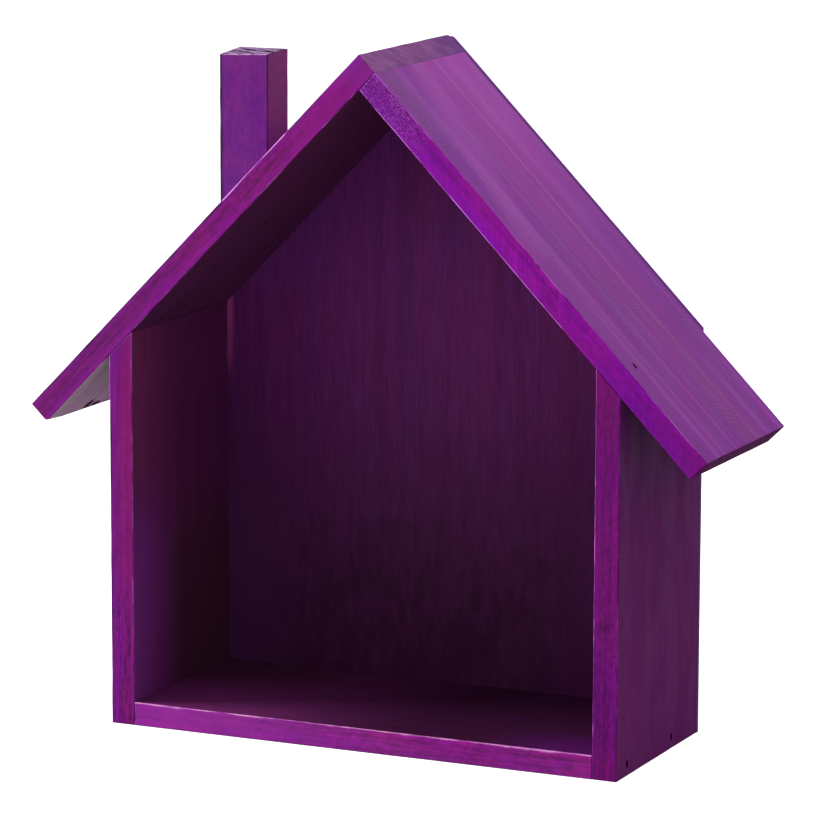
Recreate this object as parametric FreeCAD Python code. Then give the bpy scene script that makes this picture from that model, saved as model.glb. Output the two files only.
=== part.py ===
import FreeCAD, Part
import math
import os

from FreeCAD import Vector

# House-shaped wall shelf of stained boards, nailed with brads and hung by two keyhole strips.
# Millimetres. +Z is up, the open front faces -Y, and the origin is at the middle of the base.

# Box: walls, floor and back
box_width = 210.0  # over the outer faces of the two walls
wall_height = 144.0  # at a wall's outer face, from the base to the roof
board_depth = 81.0  # from the front edge to the rear edge of the walls, the floor and the roof
wall_thickness = 9.7
floor_thickness = 9.2
panel_thickness = 2.5

# Roof
roof_pitch = 45.5  # degrees from level
roof_thickness = 9.3
eave_overhang = 39.2  # down the slope, from a wall's outer face to the eave

# Chimney
chimney_width = 20.4  # across the front
chimney_depth = 17.5
chimney_length = 69.5  # along its longer side, the one that faces the eave
chimney_offset = 63.2  # from the middle of the house to the middle of the stick

# Brad: flat wire with a wider head and a chisel point
brad_length = 15.0
brad_wire_width = 1.3
brad_wire_thickness = 1.0
brad_head_length = 2.0
brad_head_width = 1.2
brad_head_height = 0.9
brad_point = 1.6
brad_set = 0.5  # how deep the head is driven below the surface

# Places of the brads
floor_brad_front = 10.5  # from the walls' front edge
floor_brad_rear = 25.7  # from the walls' rear edge
roof_brad_front = 7.5
ridge_brad_inset = 10.0  # from the roof's front edge and from its rear edge
roof_brad_share = 0.43  # of the wall's thickness, from its outer face
panel_wall_shares = (0.13, 0.56)  # of the wall's height, from the base
panel_floor_shares = (-0.6, 0.0, 0.6)  # of the inner half width, from the middle
panel_roof_shares = (0.2, 0.75)  # of the slope, from a wall's outer face to the apex
chimney_brad_shares = (-0.25, 0.25)  # of the stick's depth, from its middle

# Keyhole strip on the rear of each wall
hanger_width = 9.0
hanger_length = 38.0
hanger_thickness = 1.0
hanger_drop = 4.0  # from the wall's outer top corner down to the strip
keyhole_diameter = 6.0  # the wall screw's head goes in here
keyhole_slot = 3.2  # and its neck slides up here
keyhole_rise = 7.0
pocket_clearance = 0.5  # round the screw's head, in the panel

# Screws of the keyhole strips
screw_length = 12.0
screw_diameter = 2.5
screw_head_diameter = 4.6
screw_point = 3.0
screw_cross_length = 2.6
screw_cross_width = 0.7
screw_cross_depth = 0.7
screw_clearance = 0.03

# How far a cut runs past the surface that it starts from
overrun = 1.0

# Worked out from the sizes above
pitch = math.radians(roof_pitch)
half_width = box_width / 2
inner_half = half_width - wall_thickness
front = -(board_depth + panel_thickness + hanger_thickness) / 2
board_rear = front + board_depth
rear = board_rear + panel_thickness
slope_run = half_width / math.cos(pitch)  # up the underside, from a wall's outer face to the apex
ridge_lap = roof_thickness / math.sin(2 * pitch)  # the left board's reach past the apex
hanger_low = wall_height - hanger_drop - hanger_length + hanger_width / 2
hanger_high = wall_height - hanger_drop - hanger_width / 2
keyhole_low = (hanger_low + hanger_high - keyhole_rise) / 2
keyhole_high = keyhole_low + keyhole_rise
hanger_centre = half_width - wall_thickness / 2

LEFT = -1
RIGHT = 1
UP = Vector(0, 0, 1)
BACK = Vector(0, 1, 0)
PLANTED_ON = ("left_wall", "right_wall", "floor_board", "left_roof_board", "right_roof_board")


def on_slope(side, run, rise):
    """(x, z) of a point up the slope from a wall's outer face, and out from the roof's underside."""
    x = half_width - run * math.cos(pitch) + rise * math.sin(pitch)
    z = wall_height + run * math.sin(pitch) + rise * math.cos(pitch)
    return side * x, z


def uphill(side):
    """The direction up one slope, towards the ridge."""
    return Vector(-side * math.cos(pitch), 0, math.sin(pitch))


def outward(side):
    """The direction square out of one slope."""
    return Vector(side * math.sin(pitch), 0, math.cos(pitch))


def slab(outline, start, depth):
    """A flat piece: (x, z) corners drawn at the depth start, and run back along Y."""
    corners = [Vector(x, start, z) for x, z in outline]
    face = Part.Face(Part.makePolygon(corners + corners[:1]))
    return face.extrude(Vector(0, depth, 0))


def obround(x, width, low, high, start, depth):
    """A round-ended upright strip between two end circles' middles, and thick along Y."""
    radius = width / 2
    high_left = Vector(x - radius, start, high)
    high_right = Vector(x + radius, start, high)
    low_left = Vector(x - radius, start, low)
    low_right = Vector(x + radius, start, low)
    curves = [
        Part.Arc(high_right, Vector(x, start, high + radius), high_left),
        Part.LineSegment(high_left, low_left),
        Part.Arc(low_left, Vector(x, start, low - radius), low_right),
        Part.LineSegment(low_right, high_right),
    ]
    face = Part.Face(Part.Wire([curve.toShape() for curve in curves]))
    return face.extrude(Vector(0, depth, 0))


def wall(side):
    """An upright board, its top end cut to the roof's slope."""
    inner_height = wall_height + wall_thickness * math.tan(pitch)
    outline = [
        (side * half_width, 0),
        (side * half_width, wall_height),
        (side * inner_half, inner_height),
        (side * inner_half, 0),
    ]
    return slab(outline, front, board_depth)


def floor_board():
    """The board between the feet of the two walls."""
    outline = [
        (-inner_half, 0),
        (inner_half, 0),
        (inner_half, floor_thickness),
        (-inner_half, floor_thickness),
    ]
    return slab(outline, front, board_depth)


def left_roof_board():
    """The roof board that laps over the other one's upper end at the ridge."""
    outline = [
        on_slope(LEFT, -eave_overhang, 0),
        on_slope(LEFT, slope_run + ridge_lap, 0),
        on_slope(LEFT, slope_run + ridge_lap, roof_thickness),
        on_slope(LEFT, -eave_overhang, roof_thickness),
    ]
    return slab(outline, front, board_depth)


def right_roof_board():
    """The roof board that butts against the underside of the left one."""
    outline = [
        on_slope(RIGHT, -eave_overhang, 0),
        on_slope(RIGHT, slope_run, 0),
        on_slope(LEFT, slope_run + ridge_lap, 0),
        on_slope(RIGHT, -eave_overhang, roof_thickness),
    ]
    return slab(outline, front, board_depth)


def roof_top(x):
    """The height of the left slope's top face."""
    return wall_height + (half_width + x) * math.tan(pitch) + roof_thickness / math.cos(pitch)


def back_panel():
    """The thin back, planted on the rear edges of all the boards and cut off in line with the walls."""
    outline = [
        (-half_width, 0),
        (half_width, 0),
        (half_width, roof_top(-half_width)),
        on_slope(LEFT, slope_run + ridge_lap, 0),
        on_slope(LEFT, slope_run + ridge_lap, roof_thickness),
        (-half_width, roof_top(-half_width)),
    ]
    return slab(outline, board_rear, panel_thickness)


def chimney():
    """The stick on the left slope, its foot cut to the slope and its top level."""
    eave_side = -chimney_offset - chimney_width / 2
    ridge_side = -chimney_offset + chimney_width / 2
    top = roof_top(eave_side) + chimney_length
    outline = [
        (eave_side, roof_top(eave_side)),
        (ridge_side, roof_top(ridge_side)),
        (ridge_side, top),
        (eave_side, top),
    ]
    return slab(outline, front + (board_depth - chimney_depth) / 2, chimney_depth)


def centred_box(length, width, low, high):
    """A block centred on the Z axis, between two heights."""
    block = Part.makeBox(length, width, high - low)
    block.translate(Vector(-length / 2, -width / 2, low))
    return block


def brad_blank():
    """A brad driven down the Z axis from a surface at height 0, and the sunk slot above its head."""
    neck = -brad_set - brad_head_height
    tip = -brad_set - brad_length
    head = centred_box(brad_head_length, brad_head_width, neck, -brad_set)
    half = brad_wire_width / 2
    outline = [(-half, neck), (half, neck), (half, tip + brad_point), (0, tip), (-half, tip + brad_point)]
    wire = slab(outline, -brad_wire_thickness / 2, brad_wire_thickness)
    slot = centred_box(brad_head_length, brad_head_width, -brad_set, overrun)
    return head.fuse(wire).removeSplitter().Solids[0], slot


def placed(shape, point, out, grain):
    """A copy of a shape made on the Z axis, stood at a point with Z along out and X along grain."""
    copy = shape.copy()
    turn = FreeCAD.Rotation(grain, out.cross(grain), out, "ZXY")
    copy.Placement = FreeCAD.Placement(point, turn)
    return copy


def brad_row(points, out, grain):
    """Brads at points on the wood's surface, with the slots over their heads."""
    brad, slot = brad_blank()
    brads = [placed(brad, point, out, grain) for point in points]
    slots = [placed(slot, point, out, grain) for point in points]
    return brads, slots


def floor_brads(side):
    """Through a wall's foot into the floor's end."""
    depths = (front + floor_brad_front, board_rear - floor_brad_rear)
    points = [Vector(side * half_width, y, floor_thickness / 2) for y in depths]
    return brad_row(points, Vector(side, 0, 0), UP)


def roof_brads(side):
    """Square through a roof board's front into the wall's top end. The back panel holds its rear."""
    run = roof_brad_share * wall_thickness / math.cos(pitch)
    x, z = on_slope(side, run, roof_thickness)
    return brad_row([Vector(x, front + roof_brad_front, z)], outward(side), uphill(side))


def ridge_brads():
    """Through the left roof board into the upper end of the right one."""
    x, z = on_slope(LEFT, slope_run + ridge_lap / 2, roof_thickness)
    points = [Vector(x, y, z) for y in (front + ridge_brad_inset, board_rear - ridge_brad_inset)]
    return brad_row(points, outward(LEFT), uphill(LEFT))


def panel_brads():
    """Through the back panel into the rear edges of the walls, the floor and the roof."""
    at_walls = [
        Vector(side * hanger_centre, rear, share * wall_height)
        for side in (LEFT, RIGHT)
        for share in panel_wall_shares
    ]
    at_floor = [Vector(share * inner_half, rear, floor_thickness / 2) for share in panel_floor_shares]
    at_roof = []
    for side in (LEFT, RIGHT):
        for share in panel_roof_shares:
            x, z = on_slope(side, share * slope_run, roof_thickness / 2)
            at_roof.append(Vector(x, rear, z))
    return brad_row(at_walls + at_floor + at_roof, BACK, UP)


def chimney_brads():
    """From under the left roof board, square up into the chimney's foot."""
    run = (half_width - chimney_offset) / math.cos(pitch) + roof_thickness * math.tan(pitch)
    x, z = on_slope(LEFT, run, 0)
    middle = front + board_depth / 2
    points = [Vector(x, middle + share * chimney_depth, z) for share in chimney_brad_shares]
    return brad_row(points, -outward(LEFT), uphill(LEFT))


def screw_body(slack):
    """A countersunk screw driven down the Z axis, its head flush with height 0, with room round it."""
    neck_radius = screw_diameter / 2 + slack
    head_radius = screw_head_diameter / 2 + slack
    head_height = (screw_head_diameter - screw_diameter) / 2
    head = Part.makeCone(head_radius, neck_radius, head_height, Vector(0, 0, 0), -UP)
    straight = screw_length - head_height - screw_point
    neck = Part.makeCylinder(neck_radius, straight, Vector(0, 0, -head_height), -UP)
    point = Part.makeCone(neck_radius, 0, screw_point, Vector(0, 0, -head_height - straight), -UP)
    return head.fuse([neck, point]).removeSplitter().Solids[0]


def hanger_screw():
    """One screw of a keyhole strip, with its cross recess."""
    arms = [
        centred_box(screw_cross_length, screw_cross_width, -screw_cross_depth, overrun),
        centred_box(screw_cross_width, screw_cross_length, -screw_cross_depth, overrun),
    ]
    return screw_body(0).cut(arms).Solids[0]


def hanger_points(side):
    """Where the two screws of a strip start, on its outer face."""
    return [Vector(side * hanger_centre, rear + hanger_thickness, z) for z in (hanger_low, hanger_high)]


def hanger(side):
    """A keyhole strip: a round-ended steel strip, a round entry hole and a narrower slot above it."""
    x = side * hanger_centre
    strip = obround(x, hanger_width, hanger_low, hanger_high, rear, hanger_thickness)
    start = rear - overrun
    through = hanger_thickness + 2 * overrun
    entry = Part.makeCylinder(keyhole_diameter / 2, through, Vector(x, start, keyhole_low), BACK)
    slot = obround(x, keyhole_slot, keyhole_low, keyhole_high, start, through)
    return strip.cut([entry, slot])


def pocket(side):
    """The room behind a keyhole, right through the back panel, for the wall screw's head."""
    width = keyhole_diameter + 2 * pocket_clearance
    through = panel_thickness + overrun
    return obround(side * hanger_centre, width, keyhole_low, keyhole_high, board_rear, through)


def cut_through(boards, names, tools):
    """Takes the tools out of the boards that they pass through."""
    for name in names:
        boards[name] = boards[name].cut(tools).Solids[0]


def build():
    """All the nodes: name to solid, or to a group of like solids."""
    boards = {
        "left_wall": wall(LEFT),
        "right_wall": wall(RIGHT),
        "floor_board": floor_board(),
        "left_roof_board": left_roof_board(),
        "right_roof_board": right_roof_board(),
        "back_panel": back_panel(),
        "chimney": chimney(),
        "hanger_left": hanger(LEFT),
        "hanger_right": hanger(RIGHT),
    }
    rows = {
        "floor_brads_left": (floor_brads(LEFT), ("left_wall", "floor_board")),
        "floor_brads_right": (floor_brads(RIGHT), ("right_wall", "floor_board")),
        "roof_brads_left": (roof_brads(LEFT), ("left_roof_board", "left_wall")),
        "roof_brads_right": (roof_brads(RIGHT), ("right_roof_board", "right_wall")),
        "ridge_brads": (ridge_brads(), ("left_roof_board", "right_roof_board")),
        "panel_brads": (panel_brads(), ("back_panel", *PLANTED_ON)),
        "chimney_brads": (chimney_brads(), ("left_roof_board", "chimney")),
    }
    groups = {}
    for name, ((brads, slots), through) in rows.items():
        cut_through(boards, through, brads + slots)
        groups[name] = Part.makeCompound(brads)
    for side, word in ((LEFT, "left"), (RIGHT, "right")):
        points = hanger_points(side)
        holes = [placed(screw_body(screw_clearance), point, BACK, UP) for point in points]
        screws = [placed(hanger_screw(), point, BACK, UP) for point in points]
        cut_through(boards, (f"hanger_{word}", "back_panel", f"{word}_wall"), holes)
        cut_through(boards, ("back_panel",), [pocket(side)])
        groups[f"hanger_screws_{word}"] = Part.makeCompound(screws)
    return {**boards, **groups}


os.makedirs("parts", exist_ok=True)
for node, shape in build().items():
    shape.exportStep(f"parts/{node}.step")
    print(node, len(shape.Solids), "solids", round(shape.Volume, 1), "mm3", shape.isValid())
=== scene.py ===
"""A purple house-shaped wall shelf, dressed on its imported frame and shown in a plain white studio.

Each sub-assembly is a class that takes its sizes from the frame's boxes. Lengths are in metres.
"""
import logging
import math
from dataclasses import dataclass, field, replace
from enum import Enum, IntEnum
from typing import ClassVar, Iterable

import bmesh
import bpy
from mathutils import Matrix, Quaternion, Vector, noise


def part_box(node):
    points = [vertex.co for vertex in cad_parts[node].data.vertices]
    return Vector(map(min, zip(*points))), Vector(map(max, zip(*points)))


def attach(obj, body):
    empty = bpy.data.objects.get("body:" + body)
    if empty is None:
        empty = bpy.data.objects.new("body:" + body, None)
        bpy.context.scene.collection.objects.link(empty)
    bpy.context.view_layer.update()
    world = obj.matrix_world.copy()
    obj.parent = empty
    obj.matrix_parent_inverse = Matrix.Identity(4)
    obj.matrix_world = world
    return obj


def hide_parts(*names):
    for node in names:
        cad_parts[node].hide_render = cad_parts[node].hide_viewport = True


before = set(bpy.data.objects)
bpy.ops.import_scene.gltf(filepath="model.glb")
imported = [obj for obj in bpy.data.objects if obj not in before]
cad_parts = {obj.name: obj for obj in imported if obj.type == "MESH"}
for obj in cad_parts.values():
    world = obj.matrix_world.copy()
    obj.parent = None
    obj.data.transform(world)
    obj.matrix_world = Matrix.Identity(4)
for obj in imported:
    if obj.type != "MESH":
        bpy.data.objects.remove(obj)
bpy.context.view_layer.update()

LOG = logging.getLogger("house_shelf")
BODY = "root"
MM = 0.001
WELD = 1e-6
ALONG, ACROSS, THROUGH = range(3)

Triple = tuple[float, float, float]
Colour = Triple
Fade = tuple[float, float]
Inputs = dict[object, object]
Socket = bpy.types.NodeSocket


def linear(red: int, green: int, blue: int) -> Colour:
    """Turns a colour as a paint chart gives it, 0 to 255, into the linear light that shaders use.

    Args:
        red, green, blue: the three parts of the colour.

    Returns:
        The same colour in linear light, 0 to 1.
    """
    parts = [value / 255 for value in (red, green, blue)]
    return tuple(part / 12.92 if part <= 0.04045 else ((part + 0.055) / 1.055) ** 2.4 for part in parts)


class Side(Enum):
    """The six sides of a board: the axis of the board that each one closes, and at which end of it."""

    FOOT = (ALONG, 0)
    HEAD = (ALONG, 1)
    FRONT = (ACROSS, 0)
    REAR = (ACROSS, 1)
    INNER = (THROUGH, 0)
    OUTER = (THROUGH, 1)

    @property
    def axis(self) -> int:
        """The board's axis: along the grain, across it from front to rear, or through the thickness."""
        return self.value[0]

    @property
    def far(self) -> bool:
        """True at the far end of that axis."""
        return self.value[1] == 1


Arris = tuple[Side, Side]
SIDE_FINISH = {Side.INNER: 0, Side.OUTER: 1, Side.FRONT: 2, Side.REAR: 2, Side.FOOT: 3, Side.HEAD: 3}


def arris_axis(sides: Arris) -> int:
    """The board's axis that the arris between two sides runs along."""
    return next(axis for axis in (ALONG, ACROSS, THROUGH) if axis not in (sides[0].axis, sides[1].axis))


class GrainRun(Enum):
    """Which way a board's grain runs."""

    UPRIGHT = "upright"
    ACROSS = "across"
    LEFT_SLOPE = "left slope"
    RIGHT_SLOPE = "right slope"

    def turn(self, pitch: float) -> float:
        """The turn about Y that lays this grain along the pattern's X axis, for a roof of that pitch."""
        return {"upright": math.pi / 2, "across": 0.0, "left slope": pitch, "right slope": -pitch}[self.value]


@dataclass(frozen=True)
class HouseSizes:
    """The shelf's main sizes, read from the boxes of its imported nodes."""

    inner_half: float
    wall: float
    floor: float
    front: float
    rear: float
    wall_head: float
    apex: float
    pitch: float
    roof: float
    ridge_lap: float
    slope: float

    @classmethod
    def from_frame(cls) -> "HouseSizes":
        """Works the sizes out from the nodes' boxes.

        Returns:
            The sizes, with the pitch in radians. slope is a roof board's underside from eave to apex,
            and ridge_lap is how far the left roof board runs past the apex.
        """
        wall_low, wall_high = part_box("right_wall")
        roof_low, roof_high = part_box("left_roof_board")
        joint_x, joint_z = roof_high[0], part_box("right_roof_board")[1][2]
        pitch = math.atan((joint_z - wall_high[2]) / (wall_low[0] + joint_x))
        apex = joint_z - joint_x * math.tan(pitch)
        return cls(
            inner_half=wall_low[0],
            wall=wall_high[0] - wall_low[0],
            floor=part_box("floor_board")[1][2],
            front=wall_low[1],
            rear=wall_high[1],
            wall_head=wall_high[2],
            apex=apex,
            pitch=pitch,
            roof=(roof_high[2] - joint_z) / math.cos(pitch),
            ridge_lap=joint_x / math.cos(pitch),
            slope=(apex - roof_low[2]) / math.sin(pitch),
        )

    def uphill(self, side: int) -> Vector:
        """The direction up the left slope for side -1, or up the right one for side 1."""
        return Vector((-side * math.cos(self.pitch), 0.0, math.sin(self.pitch)))

    def off_roof(self, side: int) -> Vector:
        """The direction straight off the left slope for side -1, or off the right one for side 1."""
        return Vector((side * math.sin(self.pitch), 0.0, math.cos(self.pitch)))


@dataclass(frozen=True)
class Patch:
    """A part of a board laid over with another colour: on some boards where the stain dried to another
    colour, and on others painted light, painted shade, a painted highlight or a painted reflection.

    Each fade says where the patch is full and where it ends, in millimetres on the board's pattern: along
    the grain, across it from front to rear, and through the thickness. Where line is set, the patch is a
    stripe, and across is counted from that line to both sides. lean is how far the line goes across for each
    millimetre along.
    """

    colour: Colour
    cover: float
    along: Fade | None = None
    across: Fade | None = None
    through: Fade | None = None
    line: float | None = None
    lean: float = 0.0


@dataclass(frozen=True)
class Cloud:
    """A noise drawn out along the grain.

    Its pace along the grain, across it and through the thickness is in clouds to a millimetre, and through
    is as across where it is left out. detail and rough are the Noise Texture's own values. span is the part
    of its values that shows: where it starts and where it is full.
    """

    along: float
    across: float
    detail: float = 3.0
    rough: float = 0.55
    through: float | None = None
    span: Fade = (0.3, 0.7)

    @property
    def pace(self) -> Triple:
        """The pace on the pattern's three axes."""
        return self.along, self.across, self.across if self.through is None else self.through

    def widened(self, factor: float) -> "Cloud":
        """The same noise, wider across the grain by that factor."""
        return replace(self, across=self.across / factor)


PATCH_RAGS = Cloud(0.09, 0.3, 4.0, 0.6)
BANDS = Cloud(0.007, 0.13, 2.0)
MOTTLE = Cloud(0.035, 0.12, 4.0, 0.6)
STREAKS = Cloud(0.006, 0.32)
FIBRES = Cloud(0.07, 1.9, rough=0.65)
SPECKS = Cloud(0.3, 0.7, 2.0)
VEINS = Cloud(0.004, 0.17, span=(0.54, 0.68))
DUST = Cloud(0.01, 0.07)
SAWN_SPOTS = Cloud(0.03, 0.05, span=(0.44, 0.6))
STROKES = Cloud(0.05, 0.05, 4.0, 0.65, through=0.8)
STROKED_SPOTS = Cloud(0.02, 0.06, 2.0, span=(0.36, 0.6))
WORN_RAGS = Cloud(0.06, 0.5, 4.0, 0.7)
FLECKED_SPOTS = Cloud(0.05, 0.15, 2.0, span=(0.3, 0.6))
FLECKS = Cloud(2.0, 2.5, 1.0)
BLOTCHES = Cloud(0.02, 0.1, 4.0, 0.6, through=0.22, span=(0.34, 0.66))
KERFS = Cloud(0.05, 0.06, rough=0.6)
PORES = Cloud(0.6, 2.4, 2.0, 0.7, span=(0.5, 0.75))
PLATING = Cloud(0.3, 0.3, 4.0, 0.65)
RUBBING = Cloud(0.15, 6.0, 2.0)


class Nodes:
    """A node tree that is being laid out."""

    def __init__(self, tree: bpy.types.NodeTree, prefix: str = "") -> None:
        """Takes the tree, and what its nodes' type names start with."""
        self.tree = tree
        self.prefix = prefix

    def feed(self, socket: Socket, value: object) -> None:
        """Links another socket into this one or sets its value.

        Args:
            socket: the input.
            value: the other socket, or a plain value, where a colour needs no alpha.
        """
        if isinstance(value, Socket):
            self.tree.links.new(value, socket)
        elif socket.type == "RGBA" and len(value) == 3:
            socket.default_value = (*value, 1.0)
        else:
            socket.default_value = value

    def node(self, kind: str, inputs: Inputs | None = None, **settings: object) -> bpy.types.Node:
        """Adds a node.

        Args:
            kind: the node's type, without the prefix.
            inputs: values or sockets for its inputs, by name or by number.
            settings: the node's own properties.

        Returns:
            The new node.
        """
        node = self.tree.nodes.new(self.prefix + kind)
        for key, value in settings.items():
            setattr(node, key, value)
        for key, value in (inputs or {}).items():
            self.feed(node.inputs[key], value)
        return node


class Graph(Nodes):
    """Lays out one material's nodes, so that each finish reads as a short recipe."""

    SEED_STEP: ClassVar = (137.0, 41.0, 59.0)
    PATCH_TONES: ClassVar = (0.86, 1.08)
    MIX_INPUTS: ClassVar = (0, 6, 7)
    MIX_RESULT: ClassVar = 2

    def __init__(self, name: str) -> None:
        """Starts an empty material.

        Args:
            name: the material's name.
        """
        self.material = bpy.data.materials.new(name)
        self.material.use_nodes = True
        super().__init__(self.material.node_tree, "ShaderNode")
        self.tree.nodes.clear()

    def number(self, operation: str, first: object, second: object = 0.0, clamp: bool = False) -> Socket:
        """Joins two numbers by a Math node and gives the result."""
        return self.node("Math", {0: first, 1: second}, operation=operation, use_clamp=clamp).outputs[0]

    def remap(
        self, value: Socket, low: float, high: float, to_low: float = 0.0, to_high: float = 1.0
    ) -> Socket:
        """Carries a number from one range to another along a soft curve.

        Args:
            value: the number.
            low, high: the range that it is read in.
            to_low, to_high: the range that it is carried to.

        Returns:
            The number in the new range.
        """
        inputs = {"Value": value, "From Min": low, "From Max": high, "To Min": to_low, "To Max": to_high}
        return self.node("MapRange", inputs, interpolation_type="SMOOTHSTEP").outputs[0]

    def blend(self, factor: object, first: object, second: object, how: str = "MIX") -> Socket:
        """Mixes two colours.

        Args:
            factor: how much of the second one.
            first, second: sockets, or colours in linear light.
            how: the Mix node's blend type.

        Returns:
            The mixed colour.
        """
        inputs = dict(zip(self.MIX_INPUTS, (factor, first, second)))
        return self.node("Mix", inputs, data_type="RGBA", blend_type=how).outputs[self.MIX_RESULT]

    def place(self, turn: float, seed: float) -> Socket:
        """The object's own place in millimetres.

        Args:
            turn: the turn that lays the grain along X.
            seed: how many steps the place is moved by.

        Returns:
            The place, turned and moved.
        """
        inputs = {
            "Vector": self.node("TexCoord").outputs["Object"],
            "Rotation": (0.0, turn, 0.0),
            "Scale": (1 / MM, 1 / MM, 1 / MM),
            "Location": tuple(step * seed for step in self.SEED_STEP),
        }
        return self.node("Mapping", inputs).outputs[0]

    def cloud(self, place: Socket, cloud: Cloud) -> Socket:
        """A noise.

        Args:
            place: the place in millimetres.
            cloud: the kind of noise.

        Returns:
            A number about 0.5.
        """
        drawn = self.node("VectorMath", {0: place, 1: cloud.pace}, operation="MULTIPLY").outputs[0]
        inputs = {"Vector": drawn, "Scale": 1.0, "Detail": cloud.detail, "Roughness": cloud.rough}
        return self.node("TexNoise", inputs).outputs[0]

    def spread(self, place: Socket, cloud: Cloud, low: float = 0.0, high: float = 1.0) -> Socket:
        """A noise whose span is carried to a range of its own."""
        return self.remap(self.cloud(place, cloud), *cloud.span, low, high)

    def moved(self, place: Socket, **by: Triple) -> Socket:
        """A place moved by a Location or turned by a Rotation."""
        return self.node("Mapping", {"Vector": place, **by}).outputs[0]

    def patched(self, turn: float, colour: Socket, patches: Iterable[Patch]) -> Socket:
        """Lays patches over a colour, each with a ragged tone.

        Args:
            turn: the turn that lays the grain along X.
            colour: the colour so far.
            patches: the patches, the lowest first.

        Returns:
            The colour with the patches.
        """
        place = self.place(turn, 0.0)
        along, across, through = self.node("SeparateXYZ", {0: place}).outputs
        ragged = self.spread(place, PATCH_RAGS, *self.PATCH_TONES)
        for patch in patches:
            seen = self.number("MULTIPLY", ragged, patch.cover)
            aside = across
            if patch.line is not None:
                line = self.number("ADD", self.number("MULTIPLY", along, patch.lean), patch.line)
                aside = self.number("ABSOLUTE", self.number("SUBTRACT", across, line))
            for part, fade in zip((along, aside, through), (patch.along, patch.across, patch.through)):
                if fade:
                    seen = self.number("MULTIPLY", seen, self.remap(part, fade[1], fade[0]))
            colour = self.blend(seen, colour, patch.colour)
        return colour

    def grey(self, value: Socket) -> Socket:
        """A grey of that value."""
        return self.node("CombineColor", {0: value, 1: value, 2: value}).outputs[0]

    def attribute(self, name: str) -> Socket:
        """A number that the mesh carries at its points."""
        return self.node("Attribute", attribute_name=name, attribute_type="GEOMETRY").outputs["Fac"]

    def bump(self, height: Socket, distance: float) -> Socket:
        """A surface normal tilted by a height, where distance is the depth of a height of 1."""
        return self.node("Bump", {"Height": height, "Distance": distance, "Strength": 1.0}).outputs[0]

    def finish(self, **inputs: object) -> bpy.types.Material:
        """Closes the recipe with a Principled shader.

        Args:
            inputs: the shader's inputs, with underscores for the spaces in their names.

        Returns:
            The material.
        """
        named = {key.replace("_", " "): value for key, value in inputs.items()}
        shader = self.node("BsdfPrincipled", named)
        self.node("OutputMaterial", {"Surface": shader.outputs[0]})
        return self.material


TORN = linear(20, 8, 16)


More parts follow.
